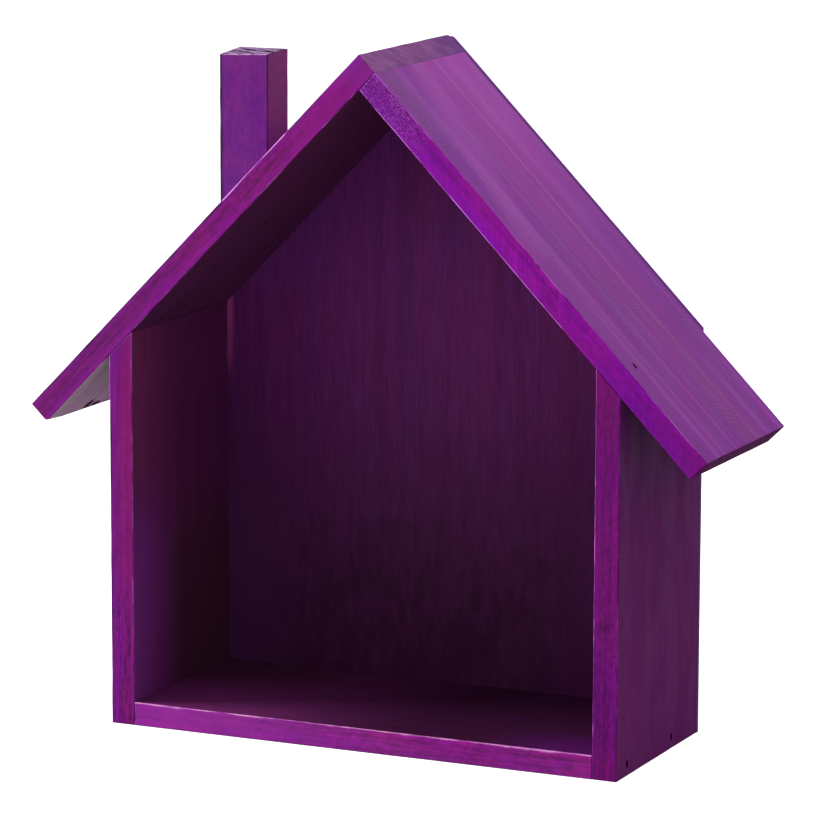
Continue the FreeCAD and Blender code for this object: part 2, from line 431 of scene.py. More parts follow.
@dataclass(frozen=True)
class Stain:
    """Purple stain on planed softwood: the hues it dried to, and how much wood shows through it.

    bands and mottle say how far the hue swings between violet and magenta, streaks, fibres and speckle how
    far the tone swings along the grain, and hatch how far it swings in the strokes that cross it. coarse
    widens the bands and streaks, veins are pale lines in the grain, saw_marks are dark arcs across it, and
    dust is how much of dust_colour lies on top. wear is how much the arrises show their wear, and ragged how
    unevenly they do. patches lay other colours over parts of the board: where the stain dried otherwise, and
    on some boards painted light, shade, highlight and reflection.
    """

    SAW_CENTRE: ClassVar = (420.0, -640.0, 40.0)
    SAW_WAVE: ClassVar = {"Scale": 0.15, "Distortion": 5.0, "Detail": 3.0, "Detail Scale": 0.4}
    SAW_SPAN: ClassVar = (0.78, 1.0)
    SAW_COVER: ClassVar = 0.25
    DUST_SWING: ClassVar = (0.5, 1.5)
    LEAST_STROKE: ClassVar = 0.2
    WORN_SPAN: ClassVar = (0.35, 0.95)

    violet: Colour
    magenta: Colour
    bare: Colour = linear(214, 104, 214)
    pooled: Colour = linear(30, 6, 32)
    bands: float = 0.5
    mottle: float = 0.6
    mottle_pace: float = 0.035
    streaks: float = 0.1
    fibres: float = 0.09
    speckle: float = 0.06
    coarse: float = 1.0
    veins: float = 0.0
    hatch: float = 0.0
    hatch_turn: float = -1.05
    saw_marks: float = 0.0
    dust: float = 0.0
    dust_colour: Colour = linear(150, 104, 158)
    wear: float = 1.0
    ragged: float = 0.35
    rough_low: float = 0.42
    rough_high: float = 0.56
    shine: float = 0.2
    relief: float = 0.06 * MM
    patches: tuple[Patch, ...] = ()

    def toned(self, level: float, warmth: float = 0.0) -> "Stain":
        """The same stain, lighter or darker, and turned towards red or, below 0, towards blue.

        Args:
            level: the factor on all of the colour.
            warmth: the share that red gains and blue loses.

        Returns:
            The new stain.
        """
        scale = (level * (1 + warmth), level, level * (1 - warmth))
        violet = tuple(part * factor for part, factor in zip(self.violet, scale))
        magenta = tuple(part * factor for part, factor in zip(self.magenta, scale))
        return replace(self, violet=violet, magenta=magenta)

    def material(self, name: str, run: GrainRun, pitch: float, seed: float) -> bpy.types.Material:
        """Makes the finish for the faces of one board.

        Args:
            name: the material's name.
            run: which way the board's grain runs.
            pitch: the roof's pitch in radians.
            seed: a number that moves the pattern, so that no two boards match.

        Returns:
            The material.
        """
        graph = Graph(name)
        turn = run.turn(pitch)
        place = graph.place(turn, seed)
        bands = graph.spread(place, BANDS.widened(self.coarse), -self.bands, self.bands)
        mottle = graph.spread(place, replace(MOTTLE, along=self.mottle_pace), -self.mottle, self.mottle)
        swing = graph.number("MULTIPLY", graph.number("ADD", bands, mottle), 0.5)
        colour = graph.blend(graph.number("ADD", swing, 0.5, clamp=True), self.violet, self.magenta)
        fibres = graph.cloud(place, FIBRES)
        colour = graph.blend(1.0, colour, graph.grey(self.tone(graph, place, fibres)), "MULTIPLY")
        if self.veins:
            colour = graph.blend(graph.spread(place, VEINS, 0.0, self.veins), colour, self.bare)
        saw = self.saw_lines(graph, place)
        sawn = graph.number("MULTIPLY", saw, self.SAW_COVER * self.saw_marks)
        colour = graph.blend(sawn, colour, self.pooled)
        dust = graph.spread(place, DUST, *(share * self.dust for share in self.DUST_SWING))
        colour = graph.blend(dust, colour, self.dust_colour)
        colour = self.worn(graph, place, self.patched(graph, turn, colour))
        rough = graph.remap(mottle, -self.mottle, self.mottle, self.rough_low, self.rough_high)
        height = graph.number("SUBTRACT", fibres, graph.number("MULTIPLY", saw, self.saw_marks))
        normal = graph.bump(height, self.relief)
        return graph.finish(Base_Color=colour, Roughness=rough, Normal=normal, Specular_IOR_Level=self.shine)

    def tone(self, graph: Graph, place: Socket, fibres: Socket) -> Socket:
        """How light the stain is along the grain, and in the strokes that cross it.

        Args:
            graph: the material's recipe.
            place: the place in millimetres.
            fibres: the noise of the fibres.

        Returns:
            A factor about 1.
        """
        streaks = graph.spread(place, STREAKS.widened(self.coarse), -self.streaks, self.streaks)
        fine = graph.remap(fibres, *FIBRES.span, 1.0 - self.fibres, 1.0 + self.fibres)
        specks = graph.spread(place, SPECKS, -self.speckle, self.speckle)
        tone = graph.number("ADD", graph.number("ADD", streaks, fine), specks)
        return graph.number("ADD", tone, self.strokes(graph, place)) if self.hatch else tone

    def saw_lines(self, graph: Graph, place: Socket) -> Socket:
        """Faint arcs that a round saw left across the grain.

        Args:
            graph: the material's recipe.
            place: the place in millimetres.

        Returns:
            A number, 1 at the bottom of a mark.
        """
        wave = {"Vector": graph.moved(place, Location=self.SAW_CENTRE), **self.SAW_WAVE}
        rings = graph.node("TexWave", wave, wave_type="RINGS", rings_direction="SPHERICAL").outputs["Fac"]
        return graph.number("MULTIPLY", graph.remap(rings, *self.SAW_SPAN), graph.spread(place, SAWN_SPOTS))

    def strokes(self, graph: Graph, place: Socket) -> Socket:
        """Soft strokes that cross the grain where the edge was sawn and sanded.

        Args:
            graph: the material's recipe.
            place: the place in millimetres.

        Returns:
            A number, below 0 on a dark stroke and above it on a light one.
        """
        turned = graph.moved(place, Rotation=(0.0, self.hatch_turn, 0.0))
        seen = graph.spread(place, STROKED_SPOTS, self.LEAST_STROKE)
        return graph.number("MULTIPLY", graph.spread(turned, STROKES, -self.hatch, self.hatch), seen)

    def patched(self, graph: Graph, turn: float, colour: Socket) -> Socket:
        """The colour with the board's own patches laid over it."""
        return graph.patched(turn, colour, self.patches) if self.patches else colour

    def worn(self, graph: Graph, place: Socket, colour: Socket) -> Socket:
        """Rubs some arrises bare or paints a highlight on them, lets the stain pool dark on others and
        darkens the torn spots.

        Args:
            graph: the material's recipe.
            place: the place in millimetres.
            colour: the colour so far.

        Returns:
            The colour with the wear.
        """
        ragged = graph.spread(place, WORN_RAGS, -self.ragged, self.ragged)
        arris = graph.attribute("arris")
        rubbed = graph.remap(graph.number("ADD", ragged, arris), *self.WORN_SPAN, 0.0, self.wear)
        pooled = graph.remap(graph.number("SUBTRACT", ragged, arris), *self.WORN_SPAN, 0.0, self.wear)
        colour = graph.blend(rubbed, colour, self.bare)
        colour = graph.blend(pooled, colour, self.pooled)
        return graph.blend(graph.attribute("mark"), colour, TORN)


@dataclass(frozen=True)
class FleckedStain(Stain):
    """Stain on an edge cut across the fibres at one end, where it dries deeper and breaks up into flecks.

    The flecks, pale and dark, are thickest at fleck_start and end at fleck_end, in millimetres along the
    grain.
    """

    DEEP_COVER: ClassVar = 0.6
    LEAST_FLECKED: ClassVar = 0.3
    PALE_SPAN: ClassVar = (0.52, 0.68)
    DARK_SPAN: ClassVar = (0.48, 0.34)

    deep: Colour = linear(104, 14, 132)
    fleck: Colour = linear(214, 136, 240)
    flecks: float = 0.5
    fleck_start: float = -168.0
    fleck_end: float = -140.0

    def patched(self, graph: Graph, turn: float, colour: Socket) -> Socket:
        """Deepens the end of the board that lies nearest to fleck_start and strews flecks over it.

        Args:
            graph: the material's recipe.
            turn: the turn that lays the grain along X.
            colour: the colour so far.

        Returns:
            The colour with the flecks.
        """
        colour = super().patched(graph, turn, colour)
        place = graph.place(turn, 0.0)
        along = graph.node("SeparateXYZ", {0: place}).outputs[0]
        near = graph.remap(along, self.fleck_end, self.fleck_start)
        colour = graph.blend(graph.number("MULTIPLY", near, self.DEEP_COVER), colour, self.deep)
        spots = graph.number("MULTIPLY", near, graph.spread(place, FLECKED_SPOTS, self.LEAST_FLECKED))
        seen = graph.number("MULTIPLY", spots, self.flecks)
        grains = graph.cloud(place, FLECKS)
        pale = graph.number("MULTIPLY", seen, graph.remap(grains, *self.PALE_SPAN))
        dark = graph.number("MULTIPLY", seen, graph.remap(grains, *self.DARK_SPAN))
        return graph.blend(dark, graph.blend(pale, colour, self.fleck), self.pooled)


@dataclass(frozen=True)
class EndGrain:
    """Stain on a sawn end, where the wood drinks it and dries dull.

    rings and kerfs say how far the year rings and the saw's slanting streaks show, kerf_pace how many
    streaks there are to a millimetre, kerf_turn their slant and kerf_soft how soft their sides are.
    """

    RING_CENTRE: ClassVar = (0.0, 25.0, 40.0)
    RING_WAVE: ClassVar = {"Scale": 0.11, "Distortion": 2.0, "Detail": 2.0, "Detail Scale": 0.4}
    PORE_COVER: ClassVar = 0.35
    PORE_EDGE: ClassVar = 0.55
    WORN_SPAN: ClassVar = (0.5, 1.0)
    POOLED_SPAN: ClassVar = (-0.2, -0.7)
    KERF_HEIGHT: ClassVar = 0.5

    pale: Colour
    dark: Colour
    rings: float = 0.25
    kerfs: float = 0.0
    kerf_pace: float = 1.3
    kerf_turn: float = 0.65
    kerf_soft: float = 0.14
    rough: float = 0.75
    shine: float = 0.2
    rubbed: Colour = linear(206, 165, 200)
    pooled: Colour = linear(44, 16, 52)
    relief: float = 0.16 * MM
    patches: tuple[Patch, ...] = ()

    def material(self, name: str, run: GrainRun, pitch: float, seed: float) -> bpy.types.Material:
        """Makes the finish for the ends of one board.

        Args:
            name: the material's name.
            run: which way the board's grain runs.
            pitch: the roof's pitch in radians.
            seed: a number that moves the pattern.

        Returns:
            The material.
        """
        graph = Graph(name)
        turn = run.turn(pitch)
        place = graph.place(turn, seed)
        tilted = graph.moved(place, Rotation=(self.kerf_turn, 0.0, 0.0))
        kerf_span = (0.5 - self.kerf_soft, 0.5 + self.kerf_soft)
        kerfs = graph.spread(tilted, replace(KERFS, through=self.kerf_pace, span=kerf_span))
        wave = {"Vector": graph.moved(place, Location=self.RING_CENTRE), **self.RING_WAVE}
        rings = graph.node("TexWave", wave, wave_type="RINGS", rings_direction="X").outputs["Fac"]
        blotches = graph.spread(tilted, BLOTCHES)
        tone = graph.number("MULTIPLY", blotches, 1.0 - self.rings - self.kerfs)
        tone = graph.number("ADD", tone, graph.number("MULTIPLY", rings, self.rings))
        tone = graph.number("ADD", tone, graph.number("MULTIPLY", kerfs, self.kerfs))
        colour = graph.blend(tone, self.dark, self.pale)
        pores = graph.cloud(place, PORES)
        colour = graph.blend(graph.remap(pores, *PORES.span, 0.0, self.PORE_COVER), colour, self.dark)
        if self.patches:
            colour = graph.patched(turn, colour, self.patches)
        arris = graph.attribute("arris")
        edge = graph.number("ADD", arris, graph.number("SUBTRACT", pores, self.PORE_EDGE))
        colour = graph.blend(graph.remap(edge, *self.WORN_SPAN), colour, self.rubbed)
        colour = graph.blend(graph.remap(arris, *self.POOLED_SPAN), colour, self.pooled)
        colour = graph.blend(graph.attribute("mark"), colour, TORN)
        height = graph.number("ADD", graph.number("MULTIPLY", kerfs, self.KERF_HEIGHT), pores)
        normal = graph.bump(height, self.relief)
        return graph.finish(
            Base_Color=colour, Roughness=self.rough, Normal=normal, Specular_IOR_Level=self.shine
        )


@dataclass(frozen=True)
class Metal:
    """A metal finish: bright zinc plating or dull wire."""

    SPANGLE: ClassVar = {"Scale": 0.55, "Randomness": 1.0}
    SPANGLE_SHARE: ClassVar = 0.35
    TONE_SPAN: ClassVar = (0.3, 0.7)
    ROUGH_SPAN: ClassVar = (0.7, 1.3)

    bright: Colour
    dull: Colour
    rough_low: float
    rough_high: float
    relief: float = 0.02 * MM

    def material(self, name: str) -> bpy.types.Material:
        """Makes the finish, with cloudy plating and fine rubbing.

        Args:
            name: the material's name.

        Returns:
            The material.
        """
        graph = Graph(name)
        place = graph.place(math.pi / 2, 0.0)
        cells = graph.node("TexVoronoi", {"Vector": place, **self.SPANGLE}).outputs["Color"]
        cloud = graph.cloud(place, PLATING)
        rubbing = graph.cloud(place, RUBBING)
        spangle = graph.number("MULTIPLY", cells, self.SPANGLE_SHARE)
        tone = graph.number("ADD", spangle, graph.number("MULTIPLY", cloud, 1.0 - self.SPANGLE_SHARE))
        colour = graph.blend(graph.remap(tone, *self.TONE_SPAN), self.dull, self.bright)
        worn = graph.number("ADD", cloud, rubbing)
        rough = graph.remap(worn, *self.ROUGH_SPAN, self.rough_low, self.rough_high)
        normal = graph.bump(rubbing, self.relief)
        return graph.finish(Base_Color=colour, Roughness=rough, Normal=normal, Metallic=1.0)


@dataclass(frozen=True)
class Slot:
    """A sunk nail mark on a board: its side, its middle along and across the grain, its size and depth."""

    side: Side
    along: float
    across: float
    length: float
    width: float
    depth: float

    def holds(self, side: Side, along: float, across: float) -> bool:
        """True where that spot of that side lies inside the mark."""
        reach = abs(along - self.along) < self.length / 2 and abs(across - self.across) < self.width / 2
        return side is self.side and reach

    def away(self, along: float, across: float) -> float:
        """How far a spot of the same side lies outside the mark.

        Args:
            along, across: the spot's place along the grain and across it.

        Returns:
            The distance, 0 inside the mark.
        """
        past_end = max(abs(along - self.along) - self.length / 2, 0.0)
        past_side = max(abs(across - self.across) - self.width / 2, 0.0)
        return math.hypot(past_end, past_side)


@dataclass(frozen=True)
class Chip:
    """A torn spot on an arris: the sides that meet there, its place along it, its size and how dark it is."""

    FADE: ClassVar = 6.0

    sides: Arris
    place: float
    length: float
    depth: float
    dark: float = 1.0

    @property
    def axis(self) -> int:
        """The board's axis that the arris runs along."""
        return arris_axis(self.sides)

    def left_at(self, point: Vector) -> float:
        """How much of the chip is left at a point along the arris, 1 in its middle."""
        share = (point[self.axis] - self.place) / self.length
        return math.exp(-self.FADE * share * share)


@dataclass(frozen=True)
class Tear:
    """A torn, dark spot on a side: its middle along and across the grain, its half sizes and its depth."""

    RAG: ClassVar = 0.5
    RAG_PACE: ClassVar = 700
    STEEP: ClassVar = 4.0
    REACH: ClassVar = 1.1

    side: Side
    along: float
    across: float
    half_along: float
    half_across: float
    depth: float = 0.5 * MM

    def level(self, point: Vector) -> float:
        """How deep in the tear a point of the same side lies.

        Args:
            point: the point in the board's own axes.

        Returns:
            The share of the tear's depth, 0 outside it and 1 at its bottom.
        """
        past_along = (point[ALONG] - self.along) / self.half_along
        past = math.hypot(past_along, (point[ACROSS] - self.across) / self.half_across)
        ragged = self.RAG * noise.noise(point * self.RAG_PACE)
        return min(max(self.STEEP * (self.REACH + ragged - past * past), 0.0), 1.0)


@dataclass(frozen=True)
class Wear:
    """An arris rubbed bare, for an amount above 0, or stained dark, below 0, between two places along it; a
    few of them paint a highlight instead of wear.
    """

    sides: Arris
    amount: float
    reach: float = 0.9 * MM
    start: float = -1.0
    end: float = 1.0

    @property
    def axis(self) -> int:
        """The board's axis that the arris runs along."""
        return arris_axis(self.sides)


@dataclass
class Board:
    """A board with eased arrises, drawn as a net of lines that lies closer near its edges and marks.

    Its own axes run along the grain from foot to head, from front to rear, and from the inner side out.
    head_teeth is how deep the saw's marks on its head are, and head_dip how much lower its head is sawn at
    its front corners, the inner and the outer. rounding gives the radius of an arris that is rounded far more
    than the rest, at its front end and along the rest of it, and the arrises in crisp are hardly rounded.
    """

    EDGE_LINES_MM: ClassVar = (0.0, 0.12, 0.28, 0.5, 0.8, 1.3, 2.2)
    RIM_LINES_MM: ClassVar = (0.0, 0.25, 0.7, 1.4)
    CHIP_LINE_SHARES: ClassVar = (-1, -0.7, -0.45, -0.2, 0, 0.2, 0.45, 0.7, 1)
    TEAR_LINES: ClassVar = range(-6, 7)
    TEAR_LINE_SHARE: ClassVar = 0.25
    ROUNDED_SHARE: ClassVar = 0.15
    UNEVEN: ClassVar = 0.7
    UNEVEN_RUN: ClassVar = 9.0 * MM
    UNEVEN_SEED: ClassVar = 100
    CRISP_REACH: ClassVar = 2.0 * MM
    CRISP_SHARE: ClassVar = 0.3
    MOST_ROUND_SHARE: ClassVar = 0.45
    CHIP_REACH_SHARE: ClassVar = 4
    CHIP_DARK_SHARE: ClassVar = 1.7
    CHIP_DARK: ClassVar = 1.1
    SLOT_DARK: ClassVar = 0.6
    SLOT_DARK_REACH: ClassVar = 0.3 * MM
    TOOTH_SLANT: ClassVar = (0.8, 0.6)
    TOOTH_PACE: ClassVar = 1.5
    TOOTH_RAG: ClassVar = 0.7
    TOOTH_RAG_PACE: ClassVar = 300
    TOOTH_SWING: ClassVar = (0.6, 0.4)
    TOOTH_SWING_PACE: ClassVar = 700

    corner: Vector
    grain: Vector
    outward: Vector
    length: float
    depth: float
    thickness: float
    foot_skew: float = 0.0
    head_skew: float = 0.0
    ease: float = 0.38 * MM
    step: float = 3.0 * MM
    head_teeth: float = 0.0
    head_dip: Fade = (0.0, 0.0)
    wear: list[Wear] = field(default_factory=list)
    rounding: dict[Arris, Fade] = field(default_factory=dict)
    crisp: tuple[Arris, ...] = ()
    slots: list[Slot] = field(default_factory=list)
    chips: list[Chip] = field(default_factory=list)
    tears: list[Tear] = field(default_factory=list)

    @property
    def sizes(self) -> Triple:
        """The board's size along each of its own axes."""
        return self.length, self.depth, self.thickness

    def lines(self, axis: int) -> list[float]:
        """The places of the net's lines along one axis.

        Args:
            axis: the board's axis.

        Returns:
            The places in order, close together at both ends and round each mark.
        """
        size = self.sizes[axis]
        edge = [line * MM for line in self.EDGE_LINES_MM]
        inner = size - 2 * edge[-1]
        count = max(2, math.ceil(inner / self.step))
        even = [edge[-1] + inner * i / count for i in range(1, count)]
        fixed = [place for line in edge for place in (line, size - line)] + self.mark_lines(axis)
        kept = [place for place in fixed if 0.0 <= place <= size]
        clear = self.step / 4
        kept = sorted(kept + [place for place in even if all(abs(place - other) > clear for other in kept)])
        return [place for i, place in enumerate(kept) if i == 0 or place - kept[i - 1] > 2 * WELD]

    def mark_lines(self, axis: int) -> list[float]:
        """The places along one axis of the further lines for nail marks, torn spots and chips.

        Args:
            axis: the board's axis.

        Returns:
            The places, in no order.
        """
        places = []
        for chip in self.chips:
            if chip.axis == axis:
                places += [chip.place + chip.length * share for share in self.CHIP_LINE_SHARES]
        if axis == THROUGH:
            return places
        for slot in self.slots:
            middle, half = ((slot.along, slot.length / 2), (slot.across, slot.width / 2))[axis]
            rims = [half + rim * MM for rim in self.RIM_LINES_MM]
            places += [middle + sign * rim for rim in rims for sign in (-1, 1)]
        for tear in self.tears:
            middle, half = ((tear.along, tear.half_along), (tear.across, tear.half_across))[axis]
            places += [middle + half * line * self.TEAR_LINE_SHARE for line in self.TEAR_LINES]
        return places

    def gap(self, point: Vector, side: Side) -> float:
        """How far a point lies under one side."""
        return self.sizes[side.axis] - point[side.axis] if side.far else point[side.axis]

    def edge_distance(self, point: Vector, sides: Iterable[Side]) -> float:
        """How far a point lies from the arris where two sides meet."""
        return math.hypot(*(self.gap(point, side) for side in sides))

    def rounded_over(self, point: Vector) -> Vector:
        """Moves a point to the arc of an arris that is rounded far more than the rest.

        Args:
            point: the point in the board's own axes.

        Returns:
            The point on the arc, or where it was.
        """
        moved = point.copy()
        for sides, (front, rest) in self.rounding.items():
            radius = front + (rest - front) * min(1.0, point[ACROSS] / (self.ROUNDED_SHARE * self.depth))
            reach = Vector([radius - self.gap(point, side) for side in sides])
            if min(reach) > 0.0 and reach.length > radius:
                for side, part in zip(sides, reach * (1.0 - radius / reach.length)):
                    moved[side.axis] += -part if side.far else part
        return moved

    def radius(self, point: Vector) -> float:
        """How far the arris near a point is rounded.

        Args:
            point: the point in the board's own axes.

        Returns:
            The radius, uneven along the arris, and larger at a chip.
        """
        uneven = noise.noise(point / self.UNEVEN_RUN + self.corner * self.UNEVEN_SEED)
        radius = self.ease * (1.0 + self.UNEVEN * uneven)
        if any(self.edge_distance(point, sides) < self.CRISP_REACH for sides in self.crisp):
            radius *= self.CRISP_SHARE
        for chip in self.chips:
            if self.edge_distance(point, chip.sides) < self.CHIP_REACH_SHARE * chip.depth:
                radius += chip.depth * chip.left_at(point)
        return min(radius, self.MOST_ROUND_SHARE * min(self.sizes))

    def eased(self, point: Vector) -> Vector:
        """Moves a point of the sharp board to the rounded one.

        Args:
            point: the point in the board's own axes.

        Returns:
            The point with the arrises rounded, and with the teeth of the saw where the head has them.
        """
        radius = self.radius(point)
        start = self.rounded_over(point)
        core = Vector([min(max(value, radius), size - radius) for value, size in zip(start, self.sizes)])
        away = start - core
        moved = core + away * (radius / away.length) if away.length > radius else start
        if self.head_teeth and point[ALONG] > self.length - WELD:
            moved[ALONG] -= self.head_teeth * self.tooth(point[ACROSS], point[THROUGH])
        for tear in self.tears:
            if self.gap(point, tear.side) < WELD:
                moved[tear.side.axis] += tear.depth * tear.level(point) * (-1 if tear.side.far else 1)
        return moved

    def tooth(self, across: float, through: float) -> float:
        """The depth of the saw's marks on the head, in slanting furrows.

        Args:
            across, through: the spot's place across the grain and through the thickness.

        Returns:
            The share of the full depth, 0 to 1.
        """
        spot = Vector((across, through, 0.0))
        level = (across * self.TOOTH_SLANT[0] + through * self.TOOTH_SLANT[1]) / MM
        slant = level + self.TOOTH_RAG * noise.noise(spot * self.TOOTH_RAG_PACE)
        furrow = 0.5 + 0.5 * math.sin(self.TOOTH_PACE * slant)
        middle, swing = self.TOOTH_SWING
        return furrow * (middle + swing * noise.noise(Vector((across, through, 0.1)) * self.TOOTH_SWING_PACE))

    def placed(self, point: Vector) -> Vector:
        """Carries a point from the board's own axes to the frame.

        Args:
            point: the point in the board's own axes.

        Returns:
            The point in the frame, with the board's slanting ends cut.
        """
        through = point[THROUGH] / self.thickness
        towards_head = max(0.0, 2.0 * point[ALONG] / self.length - 1.0)
        towards_foot = max(0.0, 1.0 - 2.0 * point[ALONG] / self.length)
        inner_dip, outer_dip = self.head_dip
        dip = (inner_dip + (outer_dip - inner_dip) * through) * (1.0 - point[ACROSS] / self.depth)
        along = point[ALONG] + through * (self.head_skew * towards_head + self.foot_skew * towards_foot)
        along -= dip * towards_head
        backward = Vector((0.0, point[ACROSS], 0.0))
        return self.corner + self.grain * along + backward + self.outward * point[THROUGH]

    def own_place(self, spot: Vector) -> Vector:
        """Carries a spot in the frame to the board's own axes, away from its slanting ends."""
        gap = spot - self.corner
        return Vector((gap.dot(self.grain), gap.y, gap.dot(self.outward)))

    def rubbed(self, point: Vector) -> float:
        """How much the arrises near a point are worn, or carry a painted highlight.

        Args:
            point: the point in the board's own axes.

        Returns:
            A number up to 1 where they are rubbed bare, and down to -1 where they are stained dark.
        """
        worn = 0.0
        for wear in self.wear:
            if wear.start <= point[wear.axis] <= wear.end:
                here = wear.amount * max(0.0, 1.0 - self.edge_distance(point, wear.sides) / wear.reach)
                worn = here if abs(here) > abs(worn) else worn
        return worn

    def marked(self, side: Side, point: Vector) -> float:
        """How dark a point is from a nail mark, a torn spot or a chip.

        Args:
            side: the side that it lies on.
            point: the point in the board's own axes.

        Returns:
            The darkness, 0 to 1.
        """
        dark = 0.0
        for slot in self.slots:
            if slot.side is side:
                away = slot.away(point[ALONG], point[ACROSS])
                dark = max(dark, self.SLOT_DARK - away / self.SLOT_DARK_REACH)
        for tear in self.tears:
            if tear.side is side:
                dark = max(dark, tear.level(point))
        for chip in self.chips:
            near = self.edge_distance(point, chip.sides) / (self.CHIP_DARK_SHARE * chip.depth)
            dark = max(dark, chip.dark * (self.CHIP_DARK * chip.left_at(point) - near * near))
        return min(max(dark, 0.0), 1.0)

    def mesh(self, name: str) -> bpy.types.Mesh:
        """Draws the board.

        Args:
            name: the mesh's name.

        Returns:
            A closed mesh: material 0 on the inner side, 1 on the outer, 2 on the edges and 3 on the ends.
        """
        net = BoardNet(self)
        for side in Side:
            net.cover(side)
        return net.to_mesh(name)


class BoardNet:
    """The net of quads that covers one board, with its marks sunk into it."""

    SHARP: ClassVar = math.radians(50)

    def __init__(self, board: Board) -> None:
        """Works out the lines of the net.

        Args:
            board: the board that the net covers.
        """
        self.board = board
        self.lines = [board.lines(axis) for axis in range(3)]
        self.bm = bmesh.new()
        self.arris = self.bm.verts.layers.float.new("arris")
        self.mark = self.bm.verts.layers.float.new("mark")
        self.knots: dict[tuple, bmesh.types.BMVert] = {}

    def knot(self, side: Side, index: tuple[int, int, int], sunk: float = 0.0) -> bmesh.types.BMVert:
        """The point where lines of the net cross.

        Args:
            side: the side that it lies on.
            index: the numbers of the three lines.
            sunk: how deep it lies under that side, at the bottom of a mark.

        Returns:
            The mesh's point, made once.
        """
        key = (index, side if sunk else None)
        if key not in self.knots:
            point = Vector([lines[i] for lines, i in zip(self.lines, index)])
            moved = self.board.eased(point)
            moved[side.axis] += -sunk if side.far else sunk
            vert = self.bm.verts.new(self.board.placed(moved))
            vert[self.arris] = self.board.rubbed(point)
            vert[self.mark] = 1.0 if sunk else self.board.marked(side, point)
            self.knots[key] = vert
        return self.knots[key]

    def cover(self, side: Side) -> None:
        """Covers one side with quads, and sinks its marks.

        Args:
            side: the side.
        """
        across, up = [axis for axis in range(3) if axis != side.axis]
        level = len(self.lines[side.axis]) - 1 if side.far else 0
        for i in range(len(self.lines[across]) - 1):
            for j in range(len(self.lines[up]) - 1):
                ring = []
                for u, v in ((i, j), (i + 1, j), (i + 1, j + 1), (i, j + 1)):
                    index = [level, level, level]
                    index[across], index[up] = u, v
                    ring.append(tuple(index))
                slot = self.slot_in(side, i, j)
                if slot is None:
                    self.face(side, [self.knot(side, index) for index in ring])
                else:
                    self.sink(side, slot, ring, (i, j))

    def slot_in(self, side: Side, i: int, j: int) -> Slot | None:
        """The mark that holds a cell of a side.

        Args:
            side: the side.
            i, j: the cell's numbers along and across.

        Returns:
            The mark, or None where there is none, as on all but the two broad sides.
        """
        alongs, acrosses = self.lines[ALONG], self.lines[ACROSS]
        if side.axis != THROUGH or min(i, j) < 0 or i + 2 > len(alongs) or j + 2 > len(acrosses):
            return None
        along = (alongs[i] + alongs[i + 1]) / 2
        across = (acrosses[j] + acrosses[j + 1]) / 2
        return next((slot for slot in self.board.slots if slot.holds(side, along, across)), None)

    def sink(self, side: Side, slot: Slot, ring: list[tuple], cell: tuple[int, int]) -> None:
        """Draws one cell of a mark: its bottom, and its walls where the mark ends.

        Args:
            side: the side that it lies on.
            slot: the mark.
            ring: the cell's four crossings.
            cell: the cell's numbers along and across.
        """
        top = [self.knot(side, index) for index in ring]
        bottom = [self.knot(side, index, slot.depth) for index in ring]
        self.face(side, bottom)
        i, j = cell
        for k, beside in enumerate(((i, j - 1), (i + 1, j), (i, j + 1), (i - 1, j))):
            if self.slot_in(side, *beside) is not slot:
                after = (k + 1) % 4
                self.face(side, [top[k], top[after], bottom[after], bottom[k]])

    def face(self, side: Side, ring: list[bmesh.types.BMVert]) -> None:
        """Adds a quad with the material of its side.

        Args:
            side: the side that it lies on.
            ring: its four points.
        """
        face = self.bm.faces.new(ring)
        face.material_index = SIDE_FINISH[side]
        face.smooth = True

    def to_mesh(self, name: str) -> bpy.types.Mesh:
        """Closes the net into a mesh.

        Args:
            name: the mesh's name.

        Returns:
            The mesh, with its faces outward and its marks' rims sharp.
        """
        bmesh.ops.recalc_face_normals(self.bm, faces=self.bm.faces)
        mesh = bpy.data.meshes.new(name)
        self.bm.to_mesh(mesh)
        self.bm.free()
        mesh.set_sharp_from_angle(angle=self.SHARP)
        return mesh


def show(name: str, mesh: bpy.types.Mesh, nodes: Iterable[str]) -> None:
    """Puts a finished mesh into the scene as a piece that stands for its nodes.

    Args:
        name: the piece's name.
        mesh: its mesh, with its place in it.
        nodes: the nodes that it stands for.
    """
    piece = bpy.data.objects.new(name, mesh)
    bpy.context.scene.collection.objects.link(piece)
    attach(piece, BODY)
    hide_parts(*nodes)
    LOG.info("%s: %d faces", name, len(mesh.polygons))


def separate_solids(node: str) -> list[list[Vector]]:
    """Splits a node's mesh into its separate solids.

    Args:
        node: the node's name.

    Returns:
        The points of each solid, in the order of the mesh.
    """
    bm = bmesh.new()
    bm.from_mesh(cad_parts[node].data)
    bmesh.ops.remove_doubles(bm, verts=bm.verts, dist=WELD)
    bm.verts.index_update()
    seen: set[int] = set()
    solids = []
    for start in bm.verts:
        if start.index in seen:
            continue
        seen.add(start.index)
        waiting, points = [start], []
        while waiting:
            vert = waiting.pop()
            points.append(vert.co.copy())
            for edge in vert.link_edges:
                other = edge.other_vert(vert)
                if other.index not in seen:
                    seen.add(other.index)
                    waiting.append(other)
        solids.append(points)
    bm.free()
    return solids


